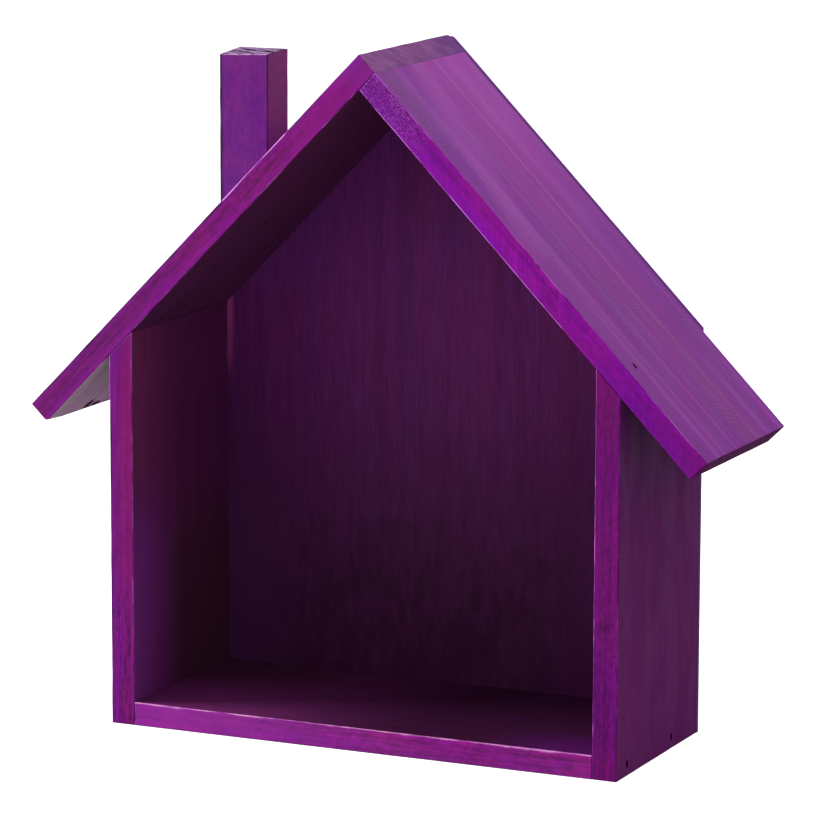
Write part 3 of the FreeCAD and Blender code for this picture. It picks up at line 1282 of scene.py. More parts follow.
@dataclass
class BradRow:
    """A row of like brads, measured on its node: where the heads lie and how large they are."""

    RIM_DEPTH: ClassVar = 0.01 * MM
    UNDER_HEAD: ClassVar = 0.5 * MM

    node: str
    out: Vector
    along: Vector
    heads: list[Vector] = field(init=False)
    head_length: float = field(init=False)
    head_width: float = field(init=False)
    length: float = field(init=False)

    def __post_init__(self) -> None:
        """Measures the row."""
        self.heads = []
        across = self.out.cross(self.along)
        for points in separate_solids(self.node):
            top = max(point.dot(self.out) for point in points)
            rim = [point for point in points if top - point.dot(self.out) < self.RIM_DEPTH]
            self.heads.append(sum(rim, Vector()) / len(rim))
            self.length = top - min(point.dot(self.out) for point in points)
            along_rim, across_rim = ([point.dot(way) for point in rim] for way in (self.along, across))
            self.head_length = max(along_rim) - min(along_rim)
            self.head_width = max(across_rim) - min(across_rim)

    def slots(self, board: Board, side: Side, clearance: float) -> list[Slot]:
        """The marks that the row leaves in a board.

        Args:
            board: the board that the heads are driven into.
            side: the side that they are driven from.
            clearance: the gap round a head.

        Returns:
            One mark for each brad.
        """
        marks = []
        for head in self.heads:
            spot = board.own_place(head)
            level = board.thickness - spot[THROUGH] if side.far else spot[THROUGH]
            size = (self.head_length + 2 * clearance, self.head_width + 2 * clearance)
            marks.append(Slot(side, spot[ALONG], spot[ACROSS], *size, level + self.UNDER_HEAD))
        return marks


class BradTree(Nodes):
    """The node tree that sets one brad on each point of a row."""

    SIZES: ClassVar = ("Length", "Wire Width", "Wire Thickness", "Head Length", "Head Width", "Head Height")
    CORNER_SHARE: ClassVar = 0.2
    CORNER_POINTS: ClassVar = 3
    HEAD_END: ClassVar = {"tip": 0.78, "tip_share": 0.3}
    WIRE_END: ClassVar = {"tip": 0.3, "tip_share": 0.12}

    def __init__(self) -> None:
        """Builds the tree with its named inputs."""
        super().__init__(bpy.data.node_groups.new("brad_row", "GeometryNodeTree"))
        self.sockets: dict[str, str] = {}
        self.add_socket("Geometry", "NodeSocketGeometry")
        for name in self.SIZES:
            self.add_socket(name, "NodeSocketFloat")
        self.add_socket("Turn", "NodeSocketRotation")
        self.add_socket("Finish", "NodeSocketMaterial")
        self.tree.interface.new_socket("Geometry", in_out="OUTPUT", socket_type="NodeSocketGeometry")
        self.given = self.node("NodeGroupInput").outputs
        self.wire_up()

    def add_socket(self, name: str, kind: str) -> None:
        """Adds a named input, and keeps its identifier."""
        socket = self.tree.interface.new_socket(name, in_out="INPUT", socket_type=kind)
        self.sockets[name] = socket.identifier

    def shape(self, kind: str, inputs: Inputs, **settings: object) -> Socket:
        """What a geometry node of that kind gives first."""
        return self.node("GeometryNode" + kind, inputs, **settings).outputs[0]

    def number(self, operation: str, first: object, second: object) -> Socket:
        """Joins two numbers by a Math node and gives the result."""
        return self.node("ShaderNodeMath", {0: first, 1: second}, operation=operation).outputs[0]

    def joined(self, *parts: Socket) -> Socket:
        """Joins some parts.

        Args:
            parts: their geometries.

        Returns:
            One geometry.
        """
        node = self.node("GeometryNodeJoinGeometry")
        for part in parts:
            self.feed(node.inputs[0], part)
        return node.outputs[0]

    def stud(self, length: Socket, width: Socket, height: Socket, tip: float, tip_share: float) -> Socket:
        """A closed bar with rounded corners and a drawn-in end.

        Args:
            length, width: the bar's section.
            height: how far it runs up from the point that carries it.
            tip: how much of the section is left at its end.
            tip_share: the share of the height over which it draws in.

        Returns:
            The bar's geometry, with its end up.
        """
        section = {"Width": length, "Height": width}
        outline = self.shape("CurvePrimitiveQuadrilateral", section, mode="RECTANGLE")
        corner = self.number("MULTIPLY", width, self.CORNER_SHARE)
        rounding = {"Curve": outline, "Radius": corner, "Count": self.CORNER_POINTS}
        rounded = self.shape("FilletCurve", rounding, mode="POLY")
        filled = self.shape("FillCurve", {"Curve": rounded}, mode="NGONS")
        base = self.shape("FlipFaces", {"Mesh": filled})
        drawn, top = filled, True
        for share in (1.0 - tip_share, tip_share):
            rise = {"Offset Scale": self.number("MULTIPLY", height, share), "Individual": False}
            run = self.node("GeometryNodeExtrudeMesh", {"Mesh": drawn, "Selection": top, **rise})
            drawn, top = run.outputs["Mesh"], run.outputs["Top"]
        drawn = self.shape("ScaleElements", {"Geometry": drawn, "Selection": top, "Scale": tip})
        return self.shape("MergeByDistance", {"Geometry": self.joined(base, drawn), "Distance": WELD})

    def wire_up(self) -> None:
        """Joins head and wire into one brad, sets it on every point and makes it real."""
        given = self.given
        head_height = given["Head Height"]
        head = self.stud(given["Head Length"], given["Head Width"], head_height, **self.HEAD_END)
        down = self.number("MULTIPLY", head_height, -1.0)
        low = self.node("ShaderNodeCombineXYZ", {"Z": down}).outputs[0]
        head = self.shape("Transform", {"Geometry": head, "Translation": low})
        wire_run = self.number("SUBTRACT", given["Length"], head_height)
        wire = self.stud(given["Wire Width"], given["Wire Thickness"], wire_run, **self.WIRE_END)
        hung = {"Translation": low, "Rotation": (math.pi, 0.0, 0.0)}
        wire = self.shape("Transform", {"Geometry": wire, **hung})
        points = self.shape("MeshToPoints", {"Mesh": given["Geometry"]})
        brads = {"Points": points, "Instance": self.joined(head, wire), "Rotation": given["Turn"]}
        real = self.shape("RealizeInstances", {"Geometry": self.shape("InstanceOnPoints", brads)})
        dressed = self.shape("SetMaterial", {"Geometry": real, "Material": given["Finish"]})
        self.node("NodeGroupOutput", {"Geometry": dressed})


@dataclass
class Brads:
    """All the brads: T-headed wire nails, sunk a little below the wood."""

    wire_width: float = 1.3 * MM
    wire_thickness: float = 1.0 * MM
    head_height: float = 0.9 * MM
    finish: Metal = Metal(linear(96, 84, 90), linear(34, 24, 30), rough_low=0.45, rough_high=0.75)

    def build(self, rows: Iterable[BradRow]) -> None:
        """Makes one piece for each row.

        Args:
            rows: the measured rows.
        """
        tree = BradTree()
        dull = self.finish.material("brad_wire")
        for row in rows:
            self.row_piece(row, tree, dull)

    def row_piece(self, row: BradRow, tree: BradTree, finish: bpy.types.Material) -> None:
        """Sets the brads of one row by the node tree and turns them into a plain mesh.

        Args:
            row: the measured row.
            tree: the tree that sets the brads.
            finish: their material.
        """
        seed_mesh = bpy.data.meshes.new(row.node + "_points")
        seed_mesh.from_pydata(row.heads, [], [])
        seed = bpy.data.objects.new(row.node + "_points", seed_mesh)
        bpy.context.scene.collection.objects.link(seed)
        modifier = seed.modifiers.new("brads", "NODES")
        modifier.node_group = tree.tree
        turn = Matrix((row.along, row.out.cross(row.along), row.out)).transposed().to_euler()
        values = {
            "Length": row.length,
            "Wire Width": self.wire_width,
            "Wire Thickness": self.wire_thickness,
            "Head Length": row.head_length,
            "Head Width": row.head_width,
            "Head Height": self.head_height,
            "Turn": turn,
            "Finish": finish,
        }
        for name, value in values.items():
            modifier[tree.sockets[name]] = value
        mesh = bpy.data.meshes.new_from_object(seed.evaluated_get(bpy.context.evaluated_depsgraph_get()))
        mesh.name = row.node + "_set"
        bpy.data.objects.remove(seed)
        show(row.node + "_set", mesh, [row.node])


@dataclass
class House:
    """The stained boards: two walls, the floor between them, two roof boards and the chimney."""

    SHELTERED_WALLS: ClassVar = 2.6

    sizes: HouseSizes
    brad_clearance: float = 0.08 * MM
    worn_clearance: float = 0.3 * MM
    rows: dict[str, BradRow] = field(init=False)
    boards: dict[str, Board] = field(init=False)

    def __post_init__(self) -> None:
        """Measures the brads and lays out the boards."""
        self.rows = self.brad_rows()
        self.boards = {
            "left_wall": self.wall(-1),
            "right_wall": self.wall(1),
            "floor_board": self.floor(),
            "left_roof_board": self.roof(-1),
            "right_roof_board": self.roof(1),
            "chimney": self.chimney(),
        }
        self.sink_brads()
        self.wear_edges()

    def brad_rows(self) -> dict[str, BradRow]:
        """Measures every row of brads.

        Returns:
            The rows by node.
        """
        sizes, up, right = self.sizes, Vector((0, 0, 1)), Vector((1, 0, 0))
        left_off, right_off = sizes.off_roof(-1), sizes.off_roof(1)
        left_up, right_up = sizes.uphill(-1), sizes.uphill(1)
        rows = [
            BradRow("floor_brads_left", -right, up),
            BradRow("floor_brads_right", right, up),
            BradRow("roof_brads_left", left_off, left_up),
            BradRow("roof_brads_right", right_off, right_up),
            BradRow("ridge_brads", left_off, left_up),
            BradRow("chimney_brads", -left_off, left_up),
            BradRow("panel_brads", Vector((0, 1, 0)), up),
        ]
        return {row.node: row for row in rows}

    def wall(self, side: int) -> Board:
        """An upright wall, with its head cut to the slope.

        Args:
            side: -1 for the left wall, 1 for the right one.

        Returns:
            The board.
        """
        sizes = self.sizes
        return Board(
            corner=Vector((side * sizes.inner_half, sizes.front, 0.0)),
            grain=Vector((0, 0, 1)),
            outward=Vector((side, 0, 0)),
            length=sizes.wall_head,
            depth=sizes.rear - sizes.front,
            thickness=sizes.wall,
            head_skew=-sizes.wall * math.tan(sizes.pitch),
        )

    def floor(self) -> Board:
        """Lays out the floor between the walls.

        Returns:
            The board, whose inner side is the top.
        """
        sizes = self.sizes
        return Board(
            corner=Vector((-sizes.inner_half, sizes.front, sizes.floor)),
            grain=Vector((1, 0, 0)),
            outward=Vector((0, 0, -1)),
            length=2 * sizes.inner_half,
            depth=sizes.rear - sizes.front,
            thickness=sizes.floor,
        )

    def roof(self, side: int) -> Board:
        """A roof board. The left one laps over the head of the right one.

        Args:
            side: -1 for the left board, 1 for the right one.

        Returns:
            The board.
        """
        sizes = self.sizes
        uphill = sizes.uphill(side)
        eave = Vector((0.0, sizes.front, sizes.apex)) - uphill * sizes.slope
        lap = sizes.ridge_lap if side < 0 else 0.0
        return Board(
            corner=eave,
            grain=uphill,
            outward=sizes.off_roof(side),
            length=sizes.slope + lap,
            depth=sizes.rear - sizes.front,
            thickness=sizes.roof,
            head_skew=0.0 if side < 0 else -sizes.ridge_lap * math.cos(2 * sizes.pitch),
        )

    def chimney(self) -> Board:
        """Lays out the chimney stick.

        Returns:
            The board, with its foot cut to the slope and its head left rough from the saw.
        """
        low, high = (Vector(corner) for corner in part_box("chimney"))
        width = high.x - low.x
        return Board(
            corner=low,
            grain=Vector((0, 0, 1)),
            outward=Vector((1, 0, 0)),
            length=high.z - low.z,
            depth=high.y - low.y,
            thickness=width,
            foot_skew=width * math.tan(self.sizes.pitch),
            step=0.5 * MM,
            head_teeth=0.08 * MM,
            head_dip=(1.3 * MM, 0.4 * MM),
        )

    def sink_brads(self) -> None:
        """Sinks the marks of each row but the panel's into the board that it is driven through."""
        driven = (
            ("floor_brads_left", "left_wall", Side.OUTER),
            ("floor_brads_right", "right_wall", Side.OUTER),
            ("roof_brads_left", "left_roof_board", Side.OUTER),
            ("roof_brads_right", "right_roof_board", Side.OUTER),
            ("ridge_brads", "left_roof_board", Side.OUTER),
            ("chimney_brads", "left_roof_board", Side.INNER),
        )
        for row, board, side in driven:
            clearance = self.worn_clearance if board == "right_wall" else self.brad_clearance
            self.boards[board].slots += self.rows[row].slots(self.boards[board], side, clearance)

    def wear_edges(self) -> None:
        """Says which arrises are rubbed bare, stained dark or given a painted highlight, which are rounded or
        crisp, and where the roof is torn.
        """
        front_in, front_out = (Side.FRONT, Side.INNER), (Side.FRONT, Side.OUTER)
        rear_in, rear_out = (Side.REAR, Side.INNER), (Side.REAR, Side.OUTER)
        head_front, head_rear = (Side.HEAD, Side.FRONT), (Side.HEAD, Side.REAR)
        head_in, head_out = (Side.HEAD, Side.INNER), (Side.HEAD, Side.OUTER)
        foot_front, foot_in = (Side.FOOT, Side.FRONT), (Side.FOOT, Side.INNER)
        left, right = self.boards["left_roof_board"], self.boards["right_roof_board"]
        slope, floor, wall = self.sizes.slope, self.sizes.floor, self.sizes.wall
        eave = slope - (self.sizes.inner_half + wall) / math.cos(self.sizes.pitch)
        past_wall = eave + wall / math.cos(self.sizes.pitch)
        under_eave = self.sizes.wall_head - self.SHELTERED_WALLS * wall
        # Where the painted highlight on the left roof's top front arris starts and ends, along it.
        highlight_from, highlight_to = 117.0 * MM, 157.0 * MM
        self.boards["left_wall"].wear = [
            Wear(front_in, 0.8, 0.7 * MM, start=floor),
            Wear(front_in, -0.7, end=floor),
            Wear(front_out, -0.9, 1.4 * MM, end=under_eave),
            Wear(front_out, 0.7, 0.7 * MM, start=under_eave),
            # Painted highlight: the bright sliver along the rear inner arris, beside the back panel.
            Wear(rear_in, 1.0, start=126.0 * MM, end=142.0 * MM),
        ]
        self.boards["right_wall"].wear = [
            Wear(front_in, 0.75, 0.7 * MM, start=floor),
            Wear(front_out, 0.42, 0.6 * MM),
            Wear(rear_out, -0.7),
        ]
        self.boards["floor_board"].wear = [
            Wear(front_in, 0.9, 1.1 * MM),
            Wear(front_out, -0.4),
            Wear(foot_front, -0.7),
        ]
        left.wear = [
            Wear(front_in, 0.6, 0.7 * MM, end=eave),
            Wear(front_in, 0.6, 0.7 * MM, start=past_wall, end=slope),
            Wear(front_in, -0.8, start=slope),
            # Along the top front arris: a painted highlight where the chimney stands behind it, with a darker
            # line on either side.
            Wear(front_out, -0.9, 1.4 * MM, end=highlight_from),
            Wear(front_out, 0.9, 0.8 * MM, start=highlight_from, end=highlight_to),
            Wear(front_out, -0.7, 1.2 * MM, start=highlight_to),
            Wear(rear_in, 0.5, start=115.0 * MM),
            Wear(head_front, 0.5),
            Wear(head_out, -0.3),
        ]
        right.wear = [
            Wear(front_in, 0.75, 0.7 * MM, start=72.0 * MM),
            Wear(head_front, 0.3),
            Wear(front_out, 0.45, 0.7 * MM),
            Wear(rear_out, -0.5),
        ]
        self.boards["chimney"].wear = [
            Wear(head_front, 0.9, 0.8 * MM),
            Wear(front_in, -1.0, 3.0 * MM),
            Wear(front_out, -0.75, 1.1 * MM),
            Wear(rear_out, -0.8),
            Wear(head_out, -0.7),
            Wear(head_in, -0.8),
            Wear(head_rear, -0.8),
        ]
        left.rounding = {foot_in: (2.0 * MM, 0.4 * MM)}
        left.crisp, right.crisp = (head_in,), (head_out, front_out)
        left.chips = [Chip(head_out, left.depth, length=3.0 * MM, depth=0.5 * MM, dark=0.0)]
        left.tears = [
            Tear(Side.INNER, 2.9 * MM, 30.4 * MM, 2.7 * MM, 2.7 * MM),
            Tear(Side.INNER, 2.0 * MM, 37.4 * MM, 1.2 * MM, 3.2 * MM),
            Tear(Side.INNER, 0.6 * MM, 46.5 * MM, 0.8 * MM, 3.0 * MM),
        ]
        right.chips = [
            Chip(front_out, place * MM, length=2.0 * MM, depth=0.5 * MM, dark=0.4) for place in (79.0, 95.0)
        ]

    def build(self) -> None:
        """Draws and dresses every board."""
        for number, (name, board) in enumerate(self.boards.items()):
            mesh = board.mesh(name + "_stained")
            for finish, part in zip(BOARD_FINISHES[name], ("inner", "outer", "edge", "end")):
                material = finish.material(f"{name}_{part}", BOARD_RUNS[name], self.sizes.pitch, number + 1.0)
                mesh.materials.append(material)
            show(name + "_stained", mesh, [name])


SANDED = Stain(
    violet=linear(110, 9, 124), magenta=linear(126, 9, 108), streaks=0.24, fibres=0.34, speckle=0.2,
    hatch=0.14, shine=0.09
)
SANDED_LEFT = replace(SANDED, patches=(
    Patch(linear(122, 10, 88), 0.45, along=(76.0, 40.0)),
    Patch(linear(108, 9, 126), 0.6, along=(150.0, 136.0)),
    Patch(linear(104, 10, 138), 0.4, through=(105.0, 99.0)),
    Patch(linear(138, 10, 88), 0.3, along=(60.0, 40.0), through=(97.5, 101.0)),
    Patch(linear(146, 16, 138), 0.4, through=(95.6, 97.2)),
))
SANDED_RIGHT = replace(
    SANDED.toned(0.92, -0.01), streaks=0.18, fibres=0.18, speckle=0.18, hatch=0.2,
    patches=(Patch(linear(112, 5, 98), 0.3, along=(80.0, 50.0)),)
)
SANDED_FLOOR = replace(
    SANDED.toned(1.28), bare=linear(236, 166, 218), dust=0.065, fibres=0.3, hatch=0.16, hatch_turn=1.05,
    patches=(Patch(linear(160, 48, 172), 0.5, along=(-95.0, 30.0)),)
)
SANDED_LAP = replace(SANDED.toned(1.0, 0.03), bare=linear(224, 140, 226), hatch_turn=1.4, patches=(
    Patch(linear(94, 9, 104), 0.5, along=(45.0, 95.0)),
    Patch(linear(148, 14, 134), 0.6, along=(158.0, 130.0)),
    Patch(linear(124, 30, 150), 0.6, along=(184.0, 170.0)),
    Patch(linear(122, 10, 88), 0.25, along=(90.0, 60.0), through=(181.5, 183.5)),
    Patch(linear(148, 14, 152), 0.45, through=(176.2, 179.0)),
    Patch(linear(126, 12, 150), 0.35, through=(184.6, 182.4)),
))
SANDED_COOL = FleckedStain(
    violet=linear(120, 5, 152), magenta=linear(146, 5, 138), bare=linear(212, 128, 238), streaks=0.16,
    fibres=0.14, speckle=0.14, hatch=0.3, hatch_turn=-0.78, shine=0.08, patches=(
        Patch(linear(106, 5, 122), 0.55, along=(6.0, -50.0)),
        Patch(linear(150, 12, 186), 0.45, along=(-112.0, -70.0), through=(176.0, 181.5)),
        Patch(linear(150, 8, 138), 0.4, along=(-98.0, -78.0), through=(184.5, 179.5)),
    )
)
PLANED = Stain(
    violet=linear(104, 14, 108), magenta=linear(110, 14, 102), bands=0.3, mottle=0.3, streaks=0.06,
    fibres=0.05, saw_marks=0.2, wear=0.6, shine=0.05, relief=0.03 * MM
)
# Painted shade on the right wall's outer side: darker near the head, under the eave. The other patches make
# it lighter towards the front, greyer and lighter at the foot front, and darker towards the rear.
SHADED = replace(PLANED, patches=(
    Patch(linear(92, 8, 104), 0.5, along=(112.0, 92.0)),
    Patch(linear(124, 30, 122), 0.35, across=(-42.0, -10.0)),
    Patch(linear(92, 14, 86), 0.4, across=(36.0, 2.0)),
    Patch(linear(120, 62, 112), 0.25, along=(0.0, 28.0), across=(-42.0, 20.0)),
))
STICK = Stain(
    violet=linear(94, 12, 122), magenta=linear(116, 14, 116), bare=linear(224, 176, 230), bands=0.1,
    mottle_pace=0.12, streaks=0.02, fibres=0.02, speckle=0.14, dust=0.05, ragged=0.12, shine=0.1
)
STICK_SIDE = replace(
    STICK, violet=linear(124, 48, 110), magenta=linear(140, 54, 106), bands=0.3, dust=0.08,
    patches=(Patch(linear(96, 14, 100), 0.5, along=(222.0, 236.0)),)
)
ROOF_TOP = Stain(
    violet=linear(112, 18, 146), magenta=linear(138, 20, 142), mottle=0.35, streaks=0.08, fibres=0.05,
    speckle=0.05, coarse=2.5, veins=0.16, saw_marks=0.9, dust=0.055, wear=0.5, shine=0.24
)
ROOF_TOP_RIGHT = replace(ROOF_TOP, patches=(
    Patch(linear(194, 80, 190), 0.45, along=(-180.0, -50.0), across=(36.0, -46.0)),
    Patch(linear(116, 12, 140), 0.14, along=(10.0, -90.0)),
    Patch(linear(112, 66, 128), 0.45, along=(-172.0, -130.0), across=(-36.0, -18.0)),
    Patch(linear(168, 26, 176), 0.35, along=(-104.0, -70.0), across=(-42.0, -37.0)),
    Patch(linear(134, 54, 112), 0.26, along=(-20.0, -110.0), across=(4.0, 12.0), line=8.0),
    Patch(linear(190, 86, 184), 0.2, along=(-100.0, -76.0), across=(3.0, 12.0), line=-65.9, lean=-0.34),
    Patch(linear(206, 106, 168), 0.26, along=(-80.0, -10.0), across=(0.3, 1.3), line=10.0),
    Patch(linear(204, 96, 180), 0.12, along=(-120.0, -60.0), across=(0.4, 3.0), line=20.0),
))
INSIDE = Stain(
    violet=linear(98, 38, 100), magenta=linear(104, 38, 84), fibres=0.05, speckle=0.03, streaks=0.08,
    wear=0.8, shine=0.1, relief=0.02 * MM
)
# Painted light and shade on the left wall's inner side: lighter violet towards the front, where light falls
# in, and darker towards the rear low down. The patch near the head is a little lighter.
INSIDE_LEFT = replace(INSIDE, speckle=0.08, patches=(
    Patch(linear(82, 42, 60), 0.85, along=(50.0, 100.0), across=(0.0, -22.0)),
    Patch(linear(112, 46, 100), 0.5, along=(138.0, 110.0)),
    Patch(linear(156, 62, 168), 0.72, along=(60.0, 110.0), across=(-44.0, 2.0)),
    Patch(linear(150, 62, 114), 0.58, along=(110.0, 70.0), across=(-44.0, 0.0)),
))
# Painted light and shade on the floor's top: toned darker to stand for its shade, with painted light on the
# left and at the front right corner, and a painted shadow at the rear left.
INSIDE_FLOOR = replace(INSIDE.toned(0.42), patches=(
    Patch(linear(146, 56, 134), 0.6, along=(-75.0, 25.0)),
    Patch(linear(66, 32, 46), 0.75, along=(-66.0, 0.0), across=(22.0, -24.0)),
    Patch(linear(98, 24, 112), 0.9, along=(86.0, 45.0), across=(-38.0, -8.0)),
))
# Painted reflection: the pale grey patch on the eave's underside, past the wall, stands for the white floor
# reflected in it.
UNDER_EAVE = replace(
    INSIDE, violet=linear(98, 46, 94), magenta=linear(104, 46, 80),
    patches=(Patch(linear(200, 190, 192), 0.95, along=(24.0, 30.0)),)
)
# Painted light and shade on the panel's face: painted shade darker towards the bottom, painted light in
# lighter strips low down at the left and right edges, and a painted highlight in the bright pink strip at the
# left edge near the top. A bluish tone lies high up towards the left and a warmer one on the right.
PANEL_FACE = replace(
    INSIDE, violet=linear(119, 45, 131), magenta=linear(129, 43, 119), coarse=1.4, streaks=0.1,
    fibres=0.19, patches=(
        Patch(linear(104, 46, 152), 0.45, along=(200.0, 140.0), through=(90.0, 5.0)),
        Patch(linear(132, 42, 116), 0.3, through=(-80.0, 10.0)),
        Patch(linear(67, 21, 61), 1.0, along=(20.0, 190.0)),
        Patch(linear(92, 41, 94), 0.8, along=(40.0, 150.0), through=(98.0, 50.0)),
        Patch(linear(88, 23, 90), 0.7, along=(40.0, 150.0), through=(-72.0, -32.0)),
        Patch(linear(206, 84, 176), 0.85, along=(148.0, 118.0), through=(94.4, 91.6)),
    )
)
PANEL_BACK = replace(INSIDE, coarse=1.4)
PANEL_EDGE = Stain(violet=linear(66, 16, 82), magenta=linear(78, 18, 76), shine=0.1)
PANEL_RIDGE = Stain(violet=linear(98, 40, 132), magenta=linear(110, 48, 130), shine=0.1)
DULL_END = EndGrain(
    pale=linear(148, 86, 150), dark=linear(110, 56, 120), rings=0.1, kerfs=0.3, kerf_pace=0.25,
    patches=(Patch(linear(98, 44, 130), 0.6, across=(38.0, 8.0)),)
)
DARK_END = EndGrain(pale=linear(112, 26, 104), dark=linear(80, 16, 74), shine=0.05)
SAWN_END = EndGrain(
    pale=linear(178, 136, 188), dark=linear(44, 18, 56), rings=0.0, kerfs=1.0, kerf_pace=0.4, kerf_turn=-0.99,
    kerf_soft=0.09, rough=0.85
)

BOARD_RUNS = {
    "left_wall": GrainRun.UPRIGHT,
    "right_wall": GrainRun.UPRIGHT,
    "floor_board": GrainRun.ACROSS,
    "left_roof_board": GrainRun.LEFT_SLOPE,
    "right_roof_board": GrainRun.RIGHT_SLOPE,
    "chimney": GrainRun.UPRIGHT,
}
BOARD_FINISHES = {
    "left_wall": (INSIDE_LEFT, PLANED, SANDED_LEFT, DARK_END),
    "right_wall": (INSIDE, SHADED, SANDED_RIGHT, DARK_END),
    "floor_board": (INSIDE_FLOOR, PLANED, SANDED_FLOOR, DARK_END),
    "left_roof_board": (UNDER_EAVE, ROOF_TOP, SANDED_LAP, DULL_END),
    "right_roof_board": (INSIDE, ROOF_TOP_RIGHT, SANDED_COOL, DARK_END),
    "chimney": (STICK, STICK_SIDE, STICK, SAWN_END),
}


class PanelPart(IntEnum):
    """The parts of the back panel that are stained apart, by the number of their material."""

    FACE = 0
    BACK = 1
    EDGE = 2
    RIDGE = 3


@dataclass
class Fittings:
    """The thin back panel and the keyhole hangers, copied from the frame with their edges eased."""

    MERGED: ClassVar = math.radians(1)
    PLAIN_CORNERS: ClassVar = 4
    FLAT_AREA: ClassVar = 400
    SAME_WAY: ClassVar = 0.9999
    RIDGEWARD: ClassVar = 0.3
    SQUARE_ON: ClassVar = 0.9
    PANEL_SEED: ClassVar = 9.0

    sizes: HouseSizes
    panel_ease: float = 0.15 * MM
    plate_ease: float = 0.12 * MM
    ridge_round: float = 2.3 * MM
    sharp: float = math.radians(30)
    panel_stains_and_painted_light: tuple[Stain, ...] = (PANEL_FACE, PANEL_BACK, PANEL_EDGE, PANEL_RIDGE)
    zinc: Metal = Metal(linear(206, 208, 210), linear(180, 182, 186), rough_low=0.25, rough_high=0.45)
    recess: Metal = Metal(linear(52, 52, 56), linear(38, 38, 42), rough_low=0.4, rough_high=0.6)

    def eased_copy(self, node: str, ease: float, top_round: float = 0.0) -> bpy.types.Mesh:
        """Copies a node's mesh, merges its loose triangles and rounds its arrises.

        Args:
            node: the node's name.
            ease: how wide the rounding is.
            top_round: how far its highest corner is sanded round, if it is.

        Returns:
            The new mesh.
        """
        bm = bmesh.new()
        bm.from_mesh(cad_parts[node].data)
        bmesh.ops.remove_doubles(bm, verts=bm.verts, dist=WELD)
        bmesh.ops.dissolve_limit(bm, angle_limit=self.MERGED, verts=bm.verts, edges=bm.edges)
        if top_round:
            top = max(bm.edges, key=lambda edge: edge.verts[0].co.z + edge.verts[1].co.z)
            bmesh.ops.bevel(bm, geom=[top], offset=top_round, segments=5, profile=0.5, affect="EDGES")
        edges = [edge for edge in bm.edges if edge.is_manifold and edge.calc_face_angle(0.0) > self.sharp]
        large = ease * ease * self.FLAT_AREA
        plain = self.PLAIN_CORNERS
        broad = [face for face in bm.faces if len(face.verts) > plain or face.calc_area() > large]
        flat = [face.normal.copy() for face in broad]
        bmesh.ops.bevel(
            bm, geom=edges, offset=ease, segments=2, profile=0.5, affect="EDGES", clamp_overlap=True
        )
        bmesh.ops.triangulate(bm, faces=[face for face in bm.faces if len(face.verts) > plain])
        for face in bm.faces:
            face.smooth = all(face.normal.dot(normal) < self.SAME_WAY for normal in flat)
        mesh = bpy.data.meshes.new(node + "_eased")
        bm.to_mesh(mesh)
        bm.free()
        mesh.set_sharp_from_angle(angle=self.sharp)
        return mesh

    def panel_part(self, normal: Vector) -> PanelPart:
        """The part of the back panel that a face belongs to.

        Args:
            normal: the way that the face looks.

        Returns:
            The part.
        """
        if abs(normal.y) >= self.SQUARE_ON:
            return PanelPart.BACK if normal.y > 0.0 else PanelPart.FACE
        return PanelPart.RIDGE if normal.dot(self.sizes.uphill(-1)) > self.RIDGEWARD else PanelPart.EDGE

    def build(self) -> None:
        """Dresses the panel, the hangers and their screws."""
        self.stain_and_shade_panel()
        self.plate_hangers()

    def stain_and_shade_panel(self) -> None:
        """Makes the back panel, with a stain of its own on each part; the face's also carries painted light
        and shade.
        """
        panel = self.eased_copy("back_panel", self.panel_ease, self.ridge_round)
        panel.materials.clear()
        for stain, part in zip(self.panel_stains_and_painted_light, PanelPart):
            name = "panel_" + part.name.lower()
            panel.materials.append(stain.material(name, GrainRun.UPRIGHT, self.sizes.pitch, self.PANEL_SEED))
        for face in panel.polygons:
            face.material_index = self.panel_part(face.normal)
        show("back_panel_stained", panel, ["back_panel"])

    def plate_hangers(self) -> None:
        """Makes the hangers and their screws, zinc-plated, with the screws' sunk parts darker."""
        zinc = self.zinc.material("zinc_plate")
        recess = self.recess.material("zinc_recess")
        for node in ("hanger_left", "hanger_right", "hanger_screws_left", "hanger_screws_right"):
            mesh = self.eased_copy(node, self.plate_ease)
            mesh.materials.clear()
            mesh.materials.append(zinc)
            if "screws" in node:
                mesh.materials.append(recess)
                top = max(vert.co.y for vert in mesh.vertices) - 2 * self.plate_ease
                for face in mesh.polygons:
                    face.material_index = int(face.center.y < top)
            show(node + "_plated", mesh, [node])


@dataclass(frozen=True)
class View:
    """The camera: where it stands, what it looks at, its lens and its slight roll."""

    place: Vector = Vector((0.73164, -1.59731, 0.44822))
    target: Vector = Vector((0.00097, 0.0, 0.12501))
    lens: float = 207.09
    sensor: float = 36.0
    roll: float = math.radians(0.161)
    clip_end: float = 60.0

    def build(self) -> None:
        """Makes the camera and gives it to the scene."""
        data = bpy.data.cameras.new("view")
        data.lens = self.lens
        data.sensor_width = self.sensor
        data.clip_end = self.clip_end
        camera = bpy.data.objects.new("view", data)
        camera.location = self.place
        aimed = (self.target - self.place).to_track_quat("-Z", "Y")
        camera.rotation_euler = (aimed @ Quaternion((0.0, 0.0, 1.0), self.roll)).to_euler()
        bpy.context.scene.collection.objects.link(camera)
        bpy.context.scene.camera = camera


@dataclass(frozen=True)
class Lamp:
    """A soft square lamp: its name, place, target, width and power."""

    name: str
    place: Triple
    target: Triple
    width: float
    power: float

    def build(self) -> None:
        """Hangs the lamp and aims it."""
        data = bpy.data.lights.new(self.name, "AREA")
        data.energy = self.power
        data.size = self.width
        lamp = bpy.data.objects.new(self.name, data)
        lamp.location = self.place
        lamp.rotation_euler = (Vector(self.target) - Vector(self.place)).to_track_quat("-Z", "Y").to_euler()
        bpy.context.scene.collection.objects.link(lamp)


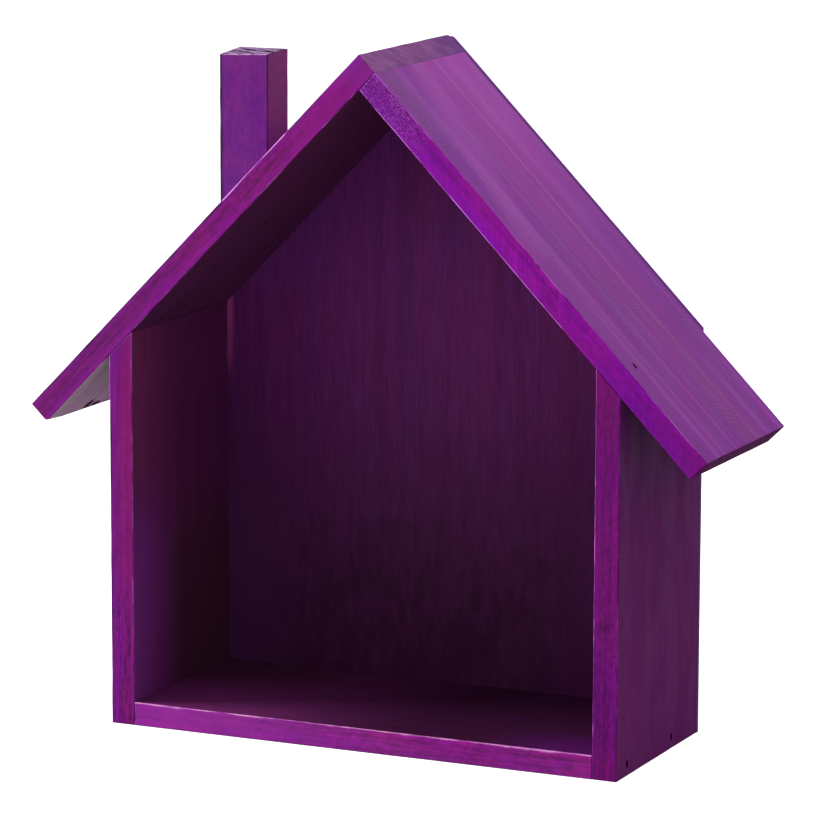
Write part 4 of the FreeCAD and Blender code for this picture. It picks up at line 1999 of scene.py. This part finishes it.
@dataclass
class Studio:
    """A white floor, a pale sky and soft lamps."""

    floor_half: float = 12.0
    sky: float = 0.5
    white: Colour = (1.0, 1.0, 1.0)
    seen_floor: Colour = (0.92, 0.92, 0.92)
    bounced_floor: Colour = (0.42, 0.42, 0.42)
    floor_rough: float = 0.9
    glow: float = 0.7
    lamps: tuple[Lamp, ...] = (
        Lamp("key", place=(-1.9, -0.6, 0.4), target=(0.0, 0.0, 0.15), width=0.7, power=68.0),
        Lamp("top", place=(0.6, 0.6, 1.9), target=(0.0, 0.0, 0.15), width=1.0, power=16.0),
    )

    def build(self) -> None:
        """Lays the floor, lights the sky and hangs the lamps."""
        scene = bpy.context.scene
        scene.view_settings.view_transform = "Standard"
        world = bpy.data.worlds.new("pale_sky")
        world.use_nodes = True
        back = world.node_tree.nodes["Background"]
        back.inputs["Color"].default_value = (*self.white, 1.0)
        back.inputs["Strength"].default_value = self.sky
        scene.world = world
        for lamp in self.lamps:
            lamp.build()
        self.lay_floor()

    def lay_floor(self) -> None:
        """Makes the pale floor, which isn't part of the shelf."""
        half = self.floor_half
        mesh = bpy.data.meshes.new("pale_floor")
        corners = [(-half, -half, 0), (half, -half, 0), (half, half, 0), (-half, half, 0)]
        mesh.from_pydata(corners, [], [(0, 1, 2, 3)])
        mesh.materials.append(self.floor_paint())
        floor = bpy.data.objects.new("pale_floor", mesh)
        bpy.context.scene.collection.objects.link(floor)

    def floor_paint(self) -> bpy.types.Material:
        """Floor paint that shows white, and throws less light back at the shelf than it shows.

        Returns:
            The material.
        """
        graph = Graph("floor_paint")
        paint = {"Base Color": self.seen_floor, "Roughness": self.floor_rough}
        glow = {"Emission Color": self.white, "Emission Strength": self.glow}
        seen = graph.node("BsdfPrincipled", {**paint, **glow})
        bounced = graph.node("BsdfDiffuse", {"Color": self.bounced_floor})
        straight = graph.node("LightPath").outputs["Is Camera Ray"]
        mixed = graph.node("MixShader", {0: straight, 1: bounced.outputs[0], 2: seen.outputs[0]})
        graph.node("OutputMaterial", {"Surface": mixed.outputs[0]})
        return graph.material


def main() -> None:
    """Builds the shelf, the studio and the view, in order."""
    logging.basicConfig(level=logging.INFO, format="%(name)s %(message)s")
    sizes = HouseSizes.from_frame()
    View().build()
    house = House(sizes)
    house.build()
    Brads().build(house.rows.values())
    Fittings(sizes).build()
    Studio().build()


if __name__ == "__main__":
    main()
